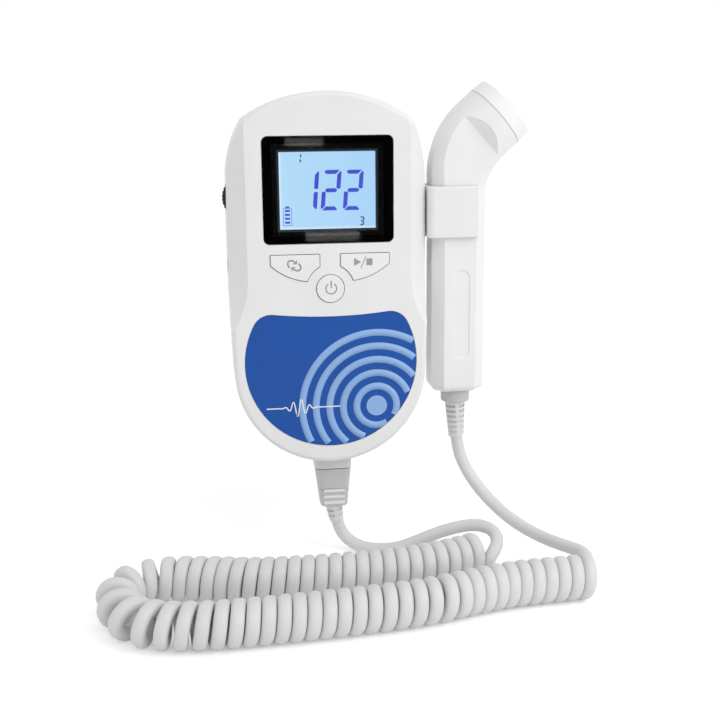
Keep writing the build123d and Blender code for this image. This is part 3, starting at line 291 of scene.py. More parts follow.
SCREEN_LIGHT = 1.0
UNLIT_SCREEN = 0.06     # how much of its colour the screen keeps without its own light
LIT_LOW, LIT_HIGH = (-17.40, 19.25), (16.62, 46.18)  # corners of the screen's lit area
PALE_SHARE = 0.75       # how pale the lit area is along its left and lower edge
PALE_START, PALE_END = 0.1, 1.0  # how far from the edge that starts to fade and ends


def glowing_material(name, light, dark):
    """Backlit surface: its own light is a little uneven, and it shows hardly any other."""
    material = finish_material(name, light, dark, 0.4)
    tree, surface = surface_of(material)
    tone = surface.inputs["Base Color"].links[0].from_socket
    dimmed = mixed(tree, 1.0, tone, grey(UNLIT_SCREEN), "MULTIPLY")
    feed_inputs(
        tree, surface, Base_Color=dimmed, Emission_Color=tone, Emission_Strength=SCREEN_LIGHT
    )
    return material


def lit_screen():
    """Backlit screen: a little darker to the right, and pale along the edges near its lamps."""
    material = glowing_material("screen_glow", colour(0.47, 0.75, 0.98), colour(0.40, 0.67, 0.97))
    tree, surface = surface_of(material)
    tone = surface.inputs["Emission Color"].links[0].from_socket
    place = tree_node(tree, "ShaderNodeSeparateXYZ", Vector=object_place(tree)).outputs
    across = ranged(tree, place["X"], (LIT_LOW[0] * MM, LIT_HIGH[0] * MM), (0.9, 0.1))
    feed_inputs(tree, tone.node, Factor=across)
    near_left, near_bottom = (
        ranged(
            tree, place[axis], ((edge + PALE_START) * MM, (edge + PALE_END) * MM), (PALE_SHARE, 0.0)
        )
        for axis, edge in (("X", LIT_LOW[0]), ("Z", LIT_LOW[1]))
    )
    paleness = combined(tree, "MAXIMUM", near_left, near_bottom)
    edges = mixed(tree, paleness, tone, colour(0.80, 0.93, 1.0))
    feed_inputs(tree, surface, Emission_Color=edges)
    return material


shell_white = finish_material("shell_white", grey(0.83), grey(0.80), 0.42, Coat_Weight=0.05)
probe_white = finish_material("probe_white", grey(0.85), grey(0.82), 0.40, Coat_Weight=0.05)
# The cap is painted paler than the probe's shells: a painted highlight for the light that falls on
# it from above.
cap_white_painted_light = finish_material("cap_white_painted_light", grey(0.90), grey(0.88), 0.42, Coat_Weight=0.05)
key_white = finish_material("key_white", grey(0.84), grey(0.82), 0.45, grain=0.15)
cord_grey = finish_material(
    "cord_grey", grey(0.72), grey(0.68), 0.48, grain=0.4, grain_depth=0.03
)
boot_grey = finish_material("boot_grey", grey(0.76), grey(0.71), 0.5, grain=0.3)
collar_grey = finish_material("collar_grey", grey(0.56), grey(0.52), 0.5, grain=0.3)
plug_grey = finish_material("plug_grey", grey(0.61), grey(0.57), 0.45, grain=0.3)
# Much paler than the plug: a painted highlight for the light the ribs catch on top.
rib_pale_painted_highlight = finish_material("rib_pale_painted_highlight", grey(0.84), grey(0.80), 0.45, grain=0.3)
dark_rubber = finish_material("dark_rubber", grey(0.02), grey(0.012), 0.55, grain=0.3)
print_black = finish_material(
    "print_black", grey(0.004), grey(0.003), 0.5, Specular_IOR_Level=0.0
)
print_grey = finish_material("print_grey", grey(0.33), grey(0.30), 0.5)
print_white = finish_material("print_white", grey(0.86), grey(0.82), 0.45)
label_blue = finish_material(
    "label_blue", colour(0.010, 0.086, 0.39), colour(0.008, 0.078, 0.36), 0.38, grain=0.2,
    grain_depth=0.01, patch=9.0, Specular_IOR_Level=0.25,
)
label_sky = finish_material("label_sky", colour(0.27, 0.45, 0.78), colour(0.25, 0.43, 0.75), 0.4)
screen_glow = lit_screen()
screen_ink = glowing_material(
    "screen_ink", colour(0.055, 0.085, 0.66), colour(0.05, 0.075, 0.60)
)
screen_dark = glowing_material(
    "screen_dark", colour(0.02, 0.045, 0.13), colour(0.018, 0.04, 0.11)
)
screen_pale = glowing_material(
    "screen_pale", colour(0.26, 0.36, 0.82), colour(0.23, 0.32, 0.76)
)
screen_border = glowing_material(
    "screen_border", colour(0.006, 0.015, 0.030), colour(0.005, 0.012, 0.024)
)
board_green = finish_material(
    "board_green", colour(0.02, 0.16, 0.06), colour(0.015, 0.13, 0.05), 0.35
)
chip_black = finish_material("chip_black", grey(0.03), grey(0.02), 0.5)
frame_white = finish_material("frame_white", grey(0.72), grey(0.66), 0.5)
silicone_grey = finish_material("silicone_grey", grey(0.42), grey(0.36), 0.6)
steel = finish_material("steel", grey(0.62), grey(0.54), 0.28, grain=0.5, Metallic=1.0)
nickel = finish_material("nickel", grey(0.70), grey(0.62), 0.22, grain=0.6, Metallic=1.0)
gold = finish_material(
    "gold", colour(0.85, 0.60, 0.22), colour(0.78, 0.54, 0.2), 0.25, Metallic=1.0
)
cell_wrap = finish_material(
    "cell_wrap", colour(0.05, 0.16, 0.10), colour(0.04, 0.13, 0.08), 0.35
)
cone_paper = finish_material("cone_paper", grey(0.06), grey(0.04), 0.8, grain=0.5, grain_depth=0.05)
crystal_cream = finish_material(
    "crystal_cream", colour(0.7, 0.6, 0.4), colour(0.62, 0.53, 0.35), 0.5
)
backing_resin = finish_material(
    "backing_resin", colour(0.16, 0.1, 0.06), colour(0.12, 0.08, 0.05), 0.6
)
seal_grey = finish_material("seal_grey", grey(0.5), grey(0.45), 0.6)
window_acrylic = finish_material(
    "window_acrylic", grey(0.99), grey(0.97), 0.025, grain=3.0, grain_depth=0.0005, spread=0.01,
    Transmission_Weight=1.0, IOR=1.45,
)

NODE_FINISH = {
    "front_housing": shell_white,
    "rear_housing": shell_white,
    "battery_cover": shell_white,
    "probe_holder": shell_white,
    "display_window": window_acrylic,
    "lcd_panel": screen_glow,
    "backlight": frame_white,
    "display_frame": chip_black,
    "label_plate": label_blue,
    "mode_button": key_white,
    "start_stop_button": key_white,
    "power_button": key_white,
    "button_membrane": silicone_grey,
    "switch_domes": steel,
    "main_circuit_board": board_green,
    "board_components": chip_black,
    "volume_wheel": dark_rubber,
    "volume_potentiometer": steel,
    "headphone_jack": chip_black,
    "speaker_frame": steel,
    "speaker_cone": cone_paper,
    "battery_cell_left": cell_wrap,
    "battery_cell_right": cell_wrap,
    "battery_contacts": nickel,
    "battery_springs": nickel,
    "housing_screws": steel,
    "holder_screws": steel,
    "probe_screws": steel,
    "plug_socket": boot_grey,
    "socket_contacts": gold,
    "plug_body": plug_grey,
    "plug_contacts": gold,
    "plug_strain_relief": boot_grey,
    "probe_collar": collar_grey,
    "probe_strain_relief": boot_grey,
    "probe_front_shell": probe_white,
    "probe_rear_shell": probe_white,
    "probe_cap": cap_white_painted_light,
    "seal_ring": seal_grey,
    "transducer_crystals": crystal_cream,
    "acoustic_backing": backing_resin,
    "probe_circuit_board": board_green,
    "plug_lead": cord_grey,
    "curly_cord": cord_grey,
    "probe_lead": cord_grey,
}


def finish_nodes():
    for name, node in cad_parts.items():
        node.data.materials.clear()
        node.data.materials.append(NODE_FINISH[name])


finish_nodes()

# ---------------------------------------------------------------- cord

FLOOR_Z = -107.1
CORD_D = 4.7
COIL_D = 15.8
lead_z = FLOOR_Z + CORD_D / 2
coil_z = FLOOR_Z + COIL_D / 2

# The route's corners. Each lead runs over the top of its end of the coil and becomes the last turn.
PLUG_LEAD = [
    (2.6, -18.0, -94.2), (3.6, -18.0, -98.4), (6.4, -19.4, -102.3), (11.2, -22.8, lead_z),
    (18.0, -26.6, lead_z), (25.4, -28.8, -103.6), (33.0, -30.4, -100.2), (41.0, -32.4, -96.4),
    (48.6, -34.8, -93.8), (55.0, -37.2, -92.8), (59.4, -42.6, -93.8), (58.6, -49.4, -96.2),
]
COIL_AXIS = [
    (54.2, -47.4, coil_z), (44.0, -52.3, coil_z), (31.6, -56.9, coil_z), (12.0, -60.2, coil_z),
    (-12.0, -61.4, coil_z), (-32.0, -60.2, coil_z), (-46.0, -56.6, coil_z), (-60.0, -54.0, coil_z),
    (-72.4, -57.0, coil_z), (-77.9, -66.0, coil_z), (-76.2, -77.5, coil_z), (-71.0, -87.4, coil_z),
    (-58.5, -92.6, coil_z), (-44.0, -93.8, coil_z), (-18.4, -92.3, coil_z), (8.0, -89.8, coil_z),
    (26.0, -87.0, coil_z), (42.0, -81.4, coil_z), (60.0, -77.0, coil_z), (85.8, -75.8, coil_z),
]
PROBE_LEAD = [
    (49.9, -17.0, -63.1), (50.5, -17.0, -68.0), (52.4, -17.4, -74.2), (56.0, -19.6, -81.0),
    (61.0, -24.4, -87.4), (66.8, -32.0, -92.4), (72.6, -42.0, -94.8), (78.0, -53.0, -95.0),
    (82.6, -63.0, -93.9), (84.4, -70.0, -93.0),
]
COIL_START = -90.0      # degrees from the top of the coil's section
PART_TURN = 0.75        # of the last turn: the coil starts at the front and ends at the top
POINTS_PER_TURN = 16    # corners of the helix
SIDES = 16              # of the cord's section
LINE_STEPS = 2          # points of the cord's line for each corner
SQUARENESS = 0.9        # added to the power 2 of the round section
# Spacing of the turns: share of the coil's length, and millimetres from turn to turn there.
PITCHES = [
    (0.0, 5.6), (0.03, 5.2), (0.05, 4.8), (0.30, 4.76), (0.335, 5.1), (0.365, 5.8), (0.385, 7.4),
    (0.41, 9.3), (0.47, 9.3), (0.50, 8.0), (0.52, 6.6), (0.55, 5.8), (0.58, 5.3), (0.62, 4.95),
    (0.70, 4.9), (0.74, 5.1), (0.81, 5.1), (0.822, 6.2), (0.834, 5.0), (0.87, 4.8), (1.0, 4.76),
]


def spline_points(points, resolution):
    """Points along the smooth line that has these control points, in metres."""
    curve = bpy.data.curves.new("route", "CURVE")
    curve.dimensions = "3D"
    curve.resolution_u = resolution
    spline = curve.splines.new("NURBS")
    spline.points.add(len(points) - 1)
    for point, place in zip(spline.points, points):
        point.co = (*place, 1.0)
    spline.order_u = 3
    spline.use_endpoint_u = True
    route = bpy.data.objects.new("route", curve)
    mesh = bpy.data.meshes.new_from_object(route)
    line = [vertex.co.copy() for vertex in mesh.vertices]
    bpy.data.objects.remove(route)
    bpy.data.curves.remove(curve)
    bpy.data.meshes.remove(mesh)
    return line


def lengths_along(line):
    """Distance from the start to each point of a line."""
    total = [0.0]
    for before, after in zip(line, line[1:]):
        total.append(total[-1] + (after - before).length)
    return total


def pitch_at(share):
    for (low, first), (high, second) in zip(PITCHES, PITCHES[1:]):
        if share <= high:
            return first + (second - first) * (share - low) / (high - low)
    return PITCHES[-1][1]


def coil_points():
    """Corners of the coil's left-handed helix round its axis, in metres."""
    axis = spline_points([at(*point) for point in COIL_AXIS], 24)
    along = lengths_along(axis)
    # The helix is the line of the cord's middle, so it keeps half a cord inside each end.
    low, high = CORD_D / 2 * MM, along[-1] - CORD_D / 2 * MM
    held = [min(max(place, low), high) for place in along]
    turned = [0.0]
    for first, last in zip(held, held[1:]):
        share = (first + last) / 2 / along[-1]
        turned.append(turned[-1] + (last - first) / MM / pitch_at(share))
    whole = round(turned[-1] - PART_TURN) + PART_TURN
    turned = [value * whole / turned[-1] for value in turned]
    count = round(whole * POINTS_PER_TURN)
    # A quadratic spline runs inside its corners, so these stand that much further out.
    radius = (COIL_D - CORD_D) / 2 * MM / math.cos(math.pi / POINTS_PER_TURN)
    up = Vector((0.0, 0.0, 1.0))
    points = []
    i = 0
    for step in range(count + 1):
        turn = whole * step / count
        while i < len(axis) - 2 and (turned[i + 1] < turn or turned[i + 1] <= turned[i]):
            i += 1
        part = (turn - turned[i]) / (turned[i + 1] - turned[i])
        reached = held[i] + (held[i + 1] - held[i]) * part
        share = (reached - along[i]) / (along[i + 1] - along[i])
        centre = axis[i].lerp(axis[i + 1], share)
        ahead = (axis[i + 1] - axis[i]).normalized()
        side = ahead.cross(up)
        angle = math.radians(COIL_START) - 2 * math.pi * turn
        points.append(centre + (up * math.cos(angle) + side * math.sin(angle)) * radius)
    return points


def tube_rings(line, radius):
    """Rings of points round a line, each turned as little as possible from the one before."""
    rings = []
    tangent = (line[1] - line[0]).normalized()
    normal = tangent.orthogonal().normalized()
    for i, here in enumerate(line):
        ahead = (line[min(i + 1, len(line) - 1)] - line[max(i - 1, 0)]).normalized()
        normal = tangent.rotation_difference(ahead) @ normal
        normal = (normal - ahead * normal.dot(ahead)).normalized()
        tangent = ahead
        side = ahead.cross(normal)
        rings.append([
            here + (normal * math.cos(2 * math.pi * k / SIDES)
                    + side * math.sin(2 * math.pi * k / SIDES)) * radius
            for k in range(SIDES)
        ])
    return rings


def square_turns(line, rings, first, last):
    """Presses the coil's turns a little square in section, less towards both ends of the coil."""
    turn = LINE_STEPS * POINTS_PER_TURN
    radius = CORD_D / 2 * MM
    for i in range(first, last + 1):
        around = line[max(i - turn // 2, 0):i + turn // 2]
        out = (line[i] - sum(around, Vector()) / len(around)).normalized()
        power = 2.0 + SQUARENESS * min(i - first, last - i, turn) / turn
        for k, place in enumerate(rings[i]):
            across = min(abs((place - line[i]).dot(out)) / radius, 1.0)
            along = math.sqrt(1.0 - across ** 2)
            stretch = (across ** power + along ** power) ** (-1.0 / power)
            rings[i][k] = line[i] + (place - line[i]) * stretch


def tube(name, rings, material):
    bm = bmesh.new()
    loops = [[bm.verts.new(place) for place in ring] for ring in rings]
    for first, second in zip(loops, loops[1:]):
        for k in range(SIDES):
            j = (k + 1) % SIDES
            bm.faces.new((first[k], first[j], second[j], second[k]))
    ends = [bm.faces.new(loops[0][::-1]), bm.faces.new(loops[-1])]
    for edge in [edge for end in ends for edge in end.edges]:
        edge.smooth = False
    return new_piece(name, mesh_of(bm, name, smooth=True), material)


def nearest(line, place):
    return min(range(len(line)), key=lambda i: (line[i] - place).length)


def make_cord():
    coil = coil_points()
    corners = [at(*point) for point in PLUG_LEAD] + coil
    corners += [at(*point) for point in reversed(PROBE_LEAD)]
    line = spline_points(corners, LINE_STEPS)
    rings = tube_rings(line, CORD_D / 2 * MM)
    coil_start = nearest(line, coil[1])
    coil_end = nearest(line, coil[-2])
    square_turns(line, rings, coil_start, coil_end)
    return line, rings, coil_start, coil_end


cord_line, cord_rings, coil_start, coil_end = make_cord()
for name, first, last in (
    ("plug_lead_tube", 0, coil_start),
    ("curly_cord_coil", coil_start, coil_end),
    ("probe_lead_tube", coil_end, len(cord_line) - 1),
):
    piece = tube(name, cord_rings[first:last + 1], cord_grey)
    line = cord_line[first:last + 1]
    if name == "probe_lead_tube":
        line = line[::-1]
    if name == "plug_lead_tube":
        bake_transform(piece)
        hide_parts("plug_lead")
    elif name == "curly_cord_coil":
        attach(piece, "root")
        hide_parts("curly_cord")
    else:
        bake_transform(piece)
        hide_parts("probe_lead")

# ---------------------------------------------------------------- prints


def add_detail(name, mesh, material, body="root"):
    """A small piece that rides on a body and wears one of the record's materials."""
    piece = new_piece(name, mesh, material)
    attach(piece, body)


def flat_print(name, outlines, front, back, material, body="root"):
    """Thin closed prints over outlines in X and Z, as one piece on a body."""
    bm = bmesh.new()
    for outline in outlines:
        add_prism(bm, outline, front, back)
    add_detail(name, mesh_of(bm, name), material, body)


def band_print(name, outer, inner, front, back, material):
    """Thin closed ring between an outer and an inner outline, as one piece on the unit."""
    bm = bmesh.new()
    add_band(bm, outer, inner, front, back)
    add_detail(name, mesh_of(bm, name), material)


def grown_print(name, tree, values, material):
    """Plain mesh on the unit, made by a Geometry Nodes tree from its named inputs."""
    maker = new_object(name, bpy.data.meshes.new(name))
    modifier = maker.modifiers.new(name, "NODES")
    modifier.node_group = tree
    for item in tree.interface.items_tree:
        if item.in_out == "INPUT":
            modifier[item.identifier] = values[item.name]
    graph = bpy.context.evaluated_depsgraph_get()
    mesh = bpy.data.meshes.new_from_object(maker.evaluated_get(graph))
    bpy.data.objects.remove(maker)
    mesh.name = name
    mesh.materials.clear()
    add_detail(name, mesh, material)


class Recipe:
    """A Geometry Nodes tree with named inputs, which ends in Realize Instances and Set Material."""

    def __init__(self, name, **inputs):
        self.tree = bpy.data.node_groups.new(name, "GeometryNodeTree")
        for label, kind in inputs.items():
            self.tree.interface.new_socket(
                label.replace("_", " "), in_out="INPUT", socket_type="NodeSocket" + kind
            )
        self.tree.interface.new_socket(
            "Geometry", in_out="OUTPUT", socket_type="NodeSocketGeometry"
        )
        self.given = self.tree.nodes.new("NodeGroupInput").outputs

    def add(self, kind, **inputs):
        """Adds a node and gives its first output."""
        return tree_node(self.tree, kind, **inputs).outputs[0]

    def vector(self, x=0.0, y=0.0, z=0.0):
        return self.add("ShaderNodeCombineXYZ", X=x, Y=y, Z=z)

    def finish(self, geometry, material):
        realized = self.add("GeometryNodeRealizeInstances", Geometry=geometry)
        painted = self.add("GeometryNodeSetMaterial", Geometry=realized, Material=material)
        tree_node(self.tree, "NodeGroupOutput", Geometry=painted)
        return self.tree


# ---------------------------------------------------------------- display

LCD_FRONT = box_mm("lcd_panel")[0].y
WINDOW_BACK = box_mm("display_window")[1].y
MASK_FRONT, MASK_BACK = WINDOW_BACK + 0.01, WINDOW_BACK + 0.04
MASK_MARGIN = 0.15      # the mask ends this far inside the window's edge
MASK_CORNER_R = 1.9
EDGE_WIDTH = 0.85       # of the thin edge round the lit area
INK_FRONT, INK_BACK = LCD_FRONT - 0.03, LCD_FRONT + 0.05
DIGIT_SIZE = (6.55, 14.1)
SEGMENT = 1.4           # width of a digit's strokes
SLANT = 0.083           # the digits lean to the right by this much of their height
TWO = "top upper middle lower_left bottom"


def grown_box(low, high, more):
    return (low[0] - more, low[1] - more), (high[0] + more, high[1] + more)


def make_screen_mask():
    """Black print on the window's back, open over the lit area, with a thin edge inside it."""
    low, high = box_mm("display_window")
    window = grown_box((low.x, low.z), (high.x, high.z), -MASK_MARGIN)
    outer = rounded_box(*window, MASK_CORNER_R)
    edge = rounded_box(*grown_box(LIT_LOW, LIT_HIGH, EDGE_WIDTH), 0.3)
    lit = rounded_box(LIT_LOW, LIT_HIGH, 0.1)
    band_print("screen_mask", outer, edge, MASK_FRONT, MASK_BACK, print_black)
    band_print("screen_edge", edge, lit, INK_FRONT, INK_BACK, screen_border)


def segments(names, width, height, stroke_width):
    """Outlines of a seven-segment digit's lit strokes, from its lower left corner, upright."""
    w, h, t = width, height, stroke_width
    m = h / 2
    upper = [
        (w - 0.35 * t, h - 0.3 * t), (w, h - 0.6 * t), (w, m + 0.55 * t),
        (w - 0.15 * t, m + 0.32 * t), (w - 0.9 * t, m + 0.4 * t), (w - 1.05 * t, m + 0.7 * t),
        (w - 1.05 * t, h - 1.2 * t),
    ]
    shapes = {
        "top": [
            (0.25 * t, h - 0.4 * t), (0.8 * t, h), (w - 0.5 * t, h), (w - 1.4 * t, h - t),
            (0.9 * t, h - t),
        ],
        "middle": [
            (0.78 * t, m), (1.3 * t, m + t / 2), (w - 1.25 * t, m + t / 2), (w - 0.78 * t, m),
            (w - 1.15 * t, m - t / 2), (1.15 * t, m - t / 2),
        ],
        "bottom": [
            (0.4 * t, 0), (1.25 * t, t), (w - 1.2 * t, t), (w - 0.65 * t, 0.45 * t),
            (w - 0.5 * t, 0),
        ],
        "upper": upper,
        "lower": [(x, h - z) for x, z in upper],
        "lower_left": [(w - x, h - z) for x, z in upper],
    }
    return [shapes[name] for name in names.split()]


def digit(names, low, width, height, stroke_width=SEGMENT):
    """A digit's strokes, leaning to the right, from its lower left corner on the screen."""
    return [
        [(low[0] + x + SLANT * z, low[1] + z) for x, z in shape]
        for shape in segments(names, width, height, stroke_width)
    ]


def make_digits():
    outlines = digit("upper lower", (-10.9, 25.7), *DIGIT_SIZE)
    outlines += digit(TWO, (-3.02, 25.7), *DIGIT_SIZE)
    outlines += digit(TWO, (4.86, 25.65), *DIGIT_SIZE)
    flat_print("screen_digits", outlines, INK_FRONT, INK_BACK, screen_ink)
    small = digit("top upper middle lower bottom", (10.75, 20.2), 1.65, 3.15, 0.5)
    small.append(stroke([(-9.86, 42.6), (-9.80, 43.6)], 0.48))
    small.append(stroke([(-9.70, 44.3), (-9.62, 45.3)], 0.42))
    flat_print("screen_small_digits", small, INK_FRONT, INK_BACK, screen_dark)


def charge_bar_recipe():
    """A row of equal bars, one above the other."""
    recipe = Recipe(
        "charge_bars", Bars="Int", Pitch="Float", Width="Float", Height="Float", Depth="Float",
        Start="Vector",
    )
    given = recipe.given
    row = recipe.add(
        "GeometryNodeMeshLine", Count=given["Bars"], Start_Location=given["Start"],
        Offset=recipe.vector(z=given["Pitch"]),
    )
    size = recipe.vector(given["Width"], given["Depth"], given["Height"])
    bar = recipe.add("GeometryNodeMeshCube", Size=size)
    bars = recipe.add("GeometryNodeInstanceOnPoints", Points=row, Instance=bar)
    return recipe.finish(bars, screen_ink)


def make_battery_sign():
    low, high = (-16.3, 20.5), (-13.1, 26.75)
    outer = rounded_box(low, high, 0.3, 2)
    inner = rounded_box(*grown_box(low, high, -0.28), 0.1, 2)
    band_print("battery_sign", outer, inner, INK_FRONT, INK_BACK, screen_pale)
    nub = [(-15.5, 26.75), (-13.9, 26.75), (-14.15, 27.4), (-15.25, 27.4)]
    flat_print("battery_sign_nub", [nub], INK_FRONT, INK_BACK, screen_ink)
    grown_print("charge_bars", charge_bar_recipe(), {
        "Bars": 4, "Pitch": 1.37 * MM, "Width": 1.8 * MM, "Height": 0.72 * MM,
        "Depth": (INK_BACK - INK_FRONT) * MM, "Start": at(-14.72, (INK_FRONT + INK_BACK) / 2, 21.7),
    }, screen_ink)


make_screen_mask()
make_digits()
make_battery_sign()

# ---------------------------------------------------------------- signs on the keys

SIGN_LIFT = 0.02        # the signs stand this far out of a key
SIGN_DEPTH = 0.06


def key_sign(name, outlines, key):
    front = box_mm(key)[0].y - SIGN_LIFT
    flat_print(name, outlines, front, front + SIGN_DEPTH, print_grey, key)


def make_signs():
    hook = [
        (-14.5, 5.85), (-14.95, 6.5), (-15.2, 7.2), (-15.05, 7.9), (-14.45, 8.38), (-13.6, 8.4),
        (-12.7, 7.95),
    ]
    mode = [stroke(hook, 0.62), [(-11.85, 8.65), (-11.85, 7.1), (-13.4, 7.1)]]
    middle = (-12.87, 6.6)
    mode += [[(2 * middle[0] - x, 2 * middle[1] - z) for x, z in shape] for shape in mode]
    key_sign("mode_sign", mode, "mode_button")
    triangle = [(8.52, 5.9), (11.05, 7.3), (8.52, 8.8)]
    slash = stroke([(11.0, 5.1), (12.8, 9.3)], 0.32)
    square = rounded_box((12.97, 6.05), (15.15, 8.5), 0.15, 2)
    key_sign("start_stop_sign", [triangle, slash, square], "start_stop_button")
    centre = (0.2, -1.95)
    ring = stroke(arc(centre, 1.93, 58, -238, 40), 0.45)
    mark = stroke([(0.2, -1.75), (0.2, 0.85)], 0.5)
    key_sign("power_sign", [ring, mark], "power_button")


make_signs()

# ---------------------------------------------------------------- art on the label

LABEL_FRONT = box_mm("label_plate")[0].y
ART_FRONT, ART_BACK = LABEL_FRONT - 0.02, LABEL_FRONT + 0.04
LABEL_CENTRE = (0.0, -29.1)
LABEL_R = 31.25
ECHO_CENTRE = (16.5, -46.0)


def echo_recipe():
    """Flat rings round one place, wider and wider, cut off at the edge of a disc."""
    recipe = Recipe(
        "echo_rings", Rings="Int", First_Radius="Float", Step="Float", Width="Float",
        Depth="Float", Start_Angle="Float", Disc_Radius="Float", Disc_Centre="Vector",
        Place="Vector",
    )
    tree, given = recipe.tree, recipe.given
    row = recipe.add("GeometryNodeMeshLine", Count=given["Rings"], Offset=(0.0, 0.0, 0.0))
    circle = recipe.add(
        "GeometryNodeCurveArc", Start_Angle=given["Start Angle"], Resolution=160, Radius=1.0,
        Sweep_Angle=math.radians(359.5),
    )
    number = recipe.add("GeometryNodeInputIndex")
    radius = combined(tree, "MULTIPLY", number, given["Step"])
    radius = combined(tree, "ADD", radius, given["First Radius"])
    rings = recipe.add(
        "GeometryNodeInstanceOnPoints", Points=row, Instance=circle,
        Scale=recipe.vector(radius, radius, radius),
    )
    rings = recipe.add("GeometryNodeRealizeInstances", Geometry=rings)
    place = recipe.add("GeometryNodeInputPosition")
    away = operated(tree, "ShaderNodeVectorMath", "DISTANCE", place, given["Disc Centre"])["Value"]
    beyond = operated(tree, "FunctionNodeCompare", "GREATER_THAN", away, given["Disc Radius"])[0]
    rings = recipe.add("GeometryNodeDeleteGeometry", Geometry=rings, Selection=beyond)
    section = recipe.add(
        "GeometryNodeCurvePrimitiveQuadrilateral", Width=given["Width"], Height=given["Depth"]
    )
    bands = recipe.add(
        "GeometryNodeCurveToMesh", Curve=rings, Profile_Curve=section, Fill_Caps=True
    )
    stood = recipe.add(
        "GeometryNodeTransform", Geometry=bands, Translation=given["Place"],
        Rotation=(math.radians(90), 0.0, 0.0),
    )
    return recipe.finish(stood, label_sky)


def pulse_line():
    """A level line that swells into a short burst of waves and dies away again."""
    left, length, level, steps = -24.0, 27.0, -45.6, 160
    middle, spread, height, waves = -12.0, 3.4, 3.3, 2.1
    points = []
    for i in range(steps + 1):
        x = left + length * i / steps
        swell = math.exp(-((x - middle) / spread) ** 2)
        points.append((x, level + height * swell * math.sin((x - middle) * waves)))
    return points


def make_label_art():
    away = (LABEL_CENTRE[0] - ECHO_CENTRE[0], LABEL_CENTRE[1] - ECHO_CENTRE[1])
    grown_print("echo_rings", echo_recipe(), {
        "Rings": 5, "First Radius": 7.4 * MM, "Step": 5.0 * MM, "Width": 2.5 * MM,
        "Depth": (ART_BACK - ART_FRONT) * MM,
        "Start Angle": math.atan2(-away[1], -away[0]),
        "Disc Radius": (LABEL_R - 0.4) * MM, "Disc Centre": (away[0] * MM, away[1] * MM, 0.0),
        "Place": at(ECHO_CENTRE[0], (ART_FRONT + ART_BACK) / 2, ECHO_CENTRE[1]),
    }, label_sky)
    flat_print(
        "echo_source", [arc(ECHO_CENTRE, 3.8, 0, 352.5, 47)], ART_FRONT, ART_BACK, label_sky,
    )
    flat_print(
        "pulse_line", [stroke(pulse_line(), 0.42)], ART_FRONT - 0.02, ART_BACK, print_white,
    )


make_label_art()

# ---------------------------------------------------------------- ribs on the plug

# Middle height of each rib, and how far forward the grip's face is there.
RIBS = [(-81.20, -22.66), (-83.65, -22.49), (-86.10, -22.33)]
RIB_LEFT, RIB_RIGHT = -2.65, 5.45
RIB_HEIGHT = 1.15
RIB_LIFT = 0.3          # the ribs stand this far out of the grip
RIB_ROOT = 1.0          # and reach this far into it


def make_plug_ribs():
    """Ribs that stand out across the front of the plug's grip; their pale colour is a painted
    highlight for the light they catch on top.
    """
    bm = bmesh.new()
    for z, face in RIBS:
        low, high = (RIB_LEFT, z - RIB_HEIGHT / 2), (RIB_RIGHT, z + RIB_HEIGHT / 2)
        outline = rounded_box(low, high, 0.4)
        add_prism(bm, outline, face - RIB_LIFT, face + RIB_ROOT)
    # The ribs are real relief, and their pale material is a painted highlight.
    add_detail("plug_ribs", mesh_of(bm, "plug_ribs"), rib_pale_painted_highlight, "plug")


make_plug_ribs()

# ---------------------------------------------------------------- floor and light

WORLD_LIGHT = 0.72      # what the surroundings give the pieces, where the camera sees 1
DARK_ROOM = (0.11, -0.99, -0.07)  # direction of the dark room behind the camera
DARK_EDGE = (0.80, 0.95)  # likeness to that direction at which the dark starts and is full
DARKEST = 0.97          # share of the light that is missing there
FLOOR_TONE = 0.92
FLOOR_GLOW = 0.30       # keeps the floor white in the picture, and lights no piece
FLOOR_LOW, FLOOR_HIGH = (-4.0, -1.0), (4.0, 6.0)  # corners, in metres
SIDE_LIGHT = 3.6        # radiance of the lamp on the right
STRIP_LIGHT = 1.7
SEEN_RAYS = ("Is Camera Ray", "Is Glossy Ray", "Is Transmission Ray")
MIRROR_RAYS = SEEN_RAYS[1:]


def rays_of(tree, *kinds):
    """1 for rays of any of these kinds, and 0 for the rest."""
    outputs = tree.nodes.new("ShaderNodeLightPath").outputs
    total = outputs[kinds[0]]
    for kind in kinds[1:]:
        total = combined(tree, "MAXIMUM", total, outputs[kind])
    return total


def make_world():
    """White surroundings; a mirror or a clear body shows the dark room behind the camera."""
    world = bpy.data.worlds.new("studio")
    bpy.context.scene.world = world
    world.use_nodes = True
    tree = world.node_tree
    strength = ranged(tree, rays_of(tree, *SEEN_RAYS), (0.0, 1.0), (WORLD_LIGHT, 1.0))
    direction = tree.nodes.new("ShaderNodeTexCoord").outputs["Generated"]
    dark_room = Vector(DARK_ROOM).normalized()
    likeness = operated(tree, "ShaderNodeVectorMath", "DOT_PRODUCT", direction, dark_room)["Value"]
    darkness = ranged(tree, likeness, DARK_EDGE, (0.0, DARKEST))
    darkness = combined(tree, "MULTIPLY", darkness, rays_of(tree, *MIRROR_RAYS))
    kept = combined(tree, "SUBTRACT", 1.0, darkness)
    total = combined(tree, "MULTIPLY", strength, kept)
    feed_inputs(tree, tree.nodes["Background"], Color=grey(1.0), Strength=total)


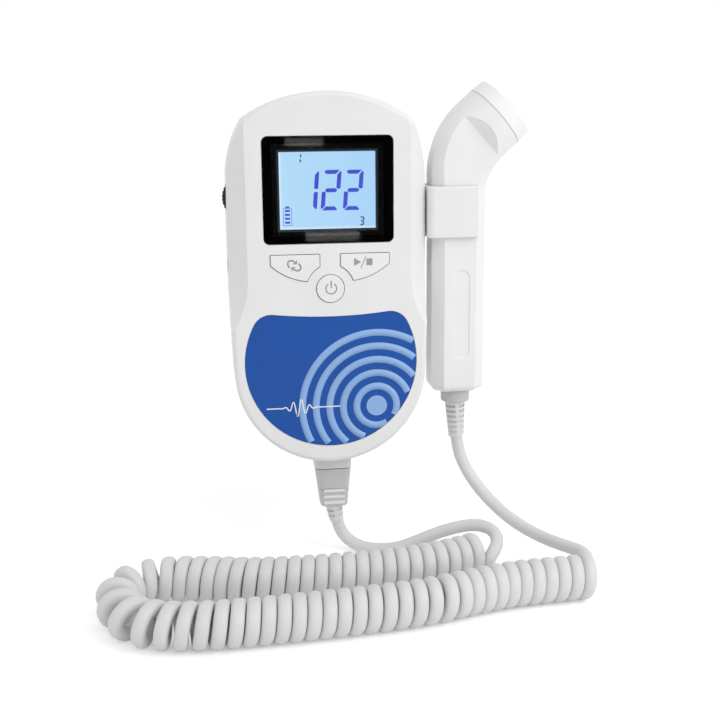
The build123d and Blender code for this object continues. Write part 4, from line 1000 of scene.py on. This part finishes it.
def make_floor():
    material = bpy.data.materials.new("floor_white")
    tree, surface = surface_of(material)
    glow = combined(tree, "MULTIPLY", rays_of(tree, *SEEN_RAYS), FLOOR_GLOW)
    feed_inputs(
        tree, surface, Base_Color=grey(FLOOR_TONE), Roughness=1.0, Specular_IOR_Level=0.0,
        Emission_Color=grey(1.0), Emission_Strength=glow,
    )
    low, high = FLOOR_LOW, FLOOR_HIGH
    bm = bmesh.new()
    corners = [low, (high[0], low[1]), high, (low[0], high[1])]
    bm.faces.new([bm.verts.new((x, y, FLOOR_Z * MM)) for x, y in corners])
    floor = new_piece("floor", mesh_of(bm, "floor"), material)
    if floor.data.polygons[0].normal.z < 0:
        floor.data.flip_normals()


def make_sun(name, strength, angle, direction):
    data = bpy.data.lights.new(name, "SUN")
    data.energy = strength
    data.angle = math.radians(angle)
    lamp = new_object(name, data)
    lamp.rotation_mode = "QUATERNION"
    lamp.rotation_quaternion = Vector(direction).to_track_quat("-Z", "Y")


def make_lamp(name, middle, target, size, radiance):
    """Rectangular lamp that faces a target and isn't seen by the camera itself."""
    data = bpy.data.lights.new(name, "AREA")
    data.shape = "RECTANGLE"
    data.size, data.size_y = size[0] * MM, size[1] * MM
    data.energy = radiance * math.pi * data.size * data.size_y
    lamp = new_object(name, data)
    lamp.location = at(*middle)
    lamp.rotation_mode = "QUATERNION"
    lamp.rotation_quaternion = (at(*target) - at(*middle)).to_track_quat("-Z", "Z")
    lamp.visible_camera = False


make_world()
make_floor()
make_sun("key", 0.6, 50, (-0.4, 0.8, -0.9))
make_lamp("side_lamp", (290.0, -280.0, 150.0), (0.0, -20.0, 10.0), (160.0, 160.0), SIDE_LIGHT)
# Behind the camera: these show as faint bands in the window.
make_lamp("upper_strip", (53.7, -700.0, 30.7), (53.7, 0.0, 30.7), (35.0, 6.7), STRIP_LIGHT)
make_lamp("lower_strip", (79.5, -700.0, -58.0), (79.5, 0.0, -58.0), (51.0, 8.0), STRIP_LIGHT)
bpy.context.scene.view_settings.view_transform = "Standard"
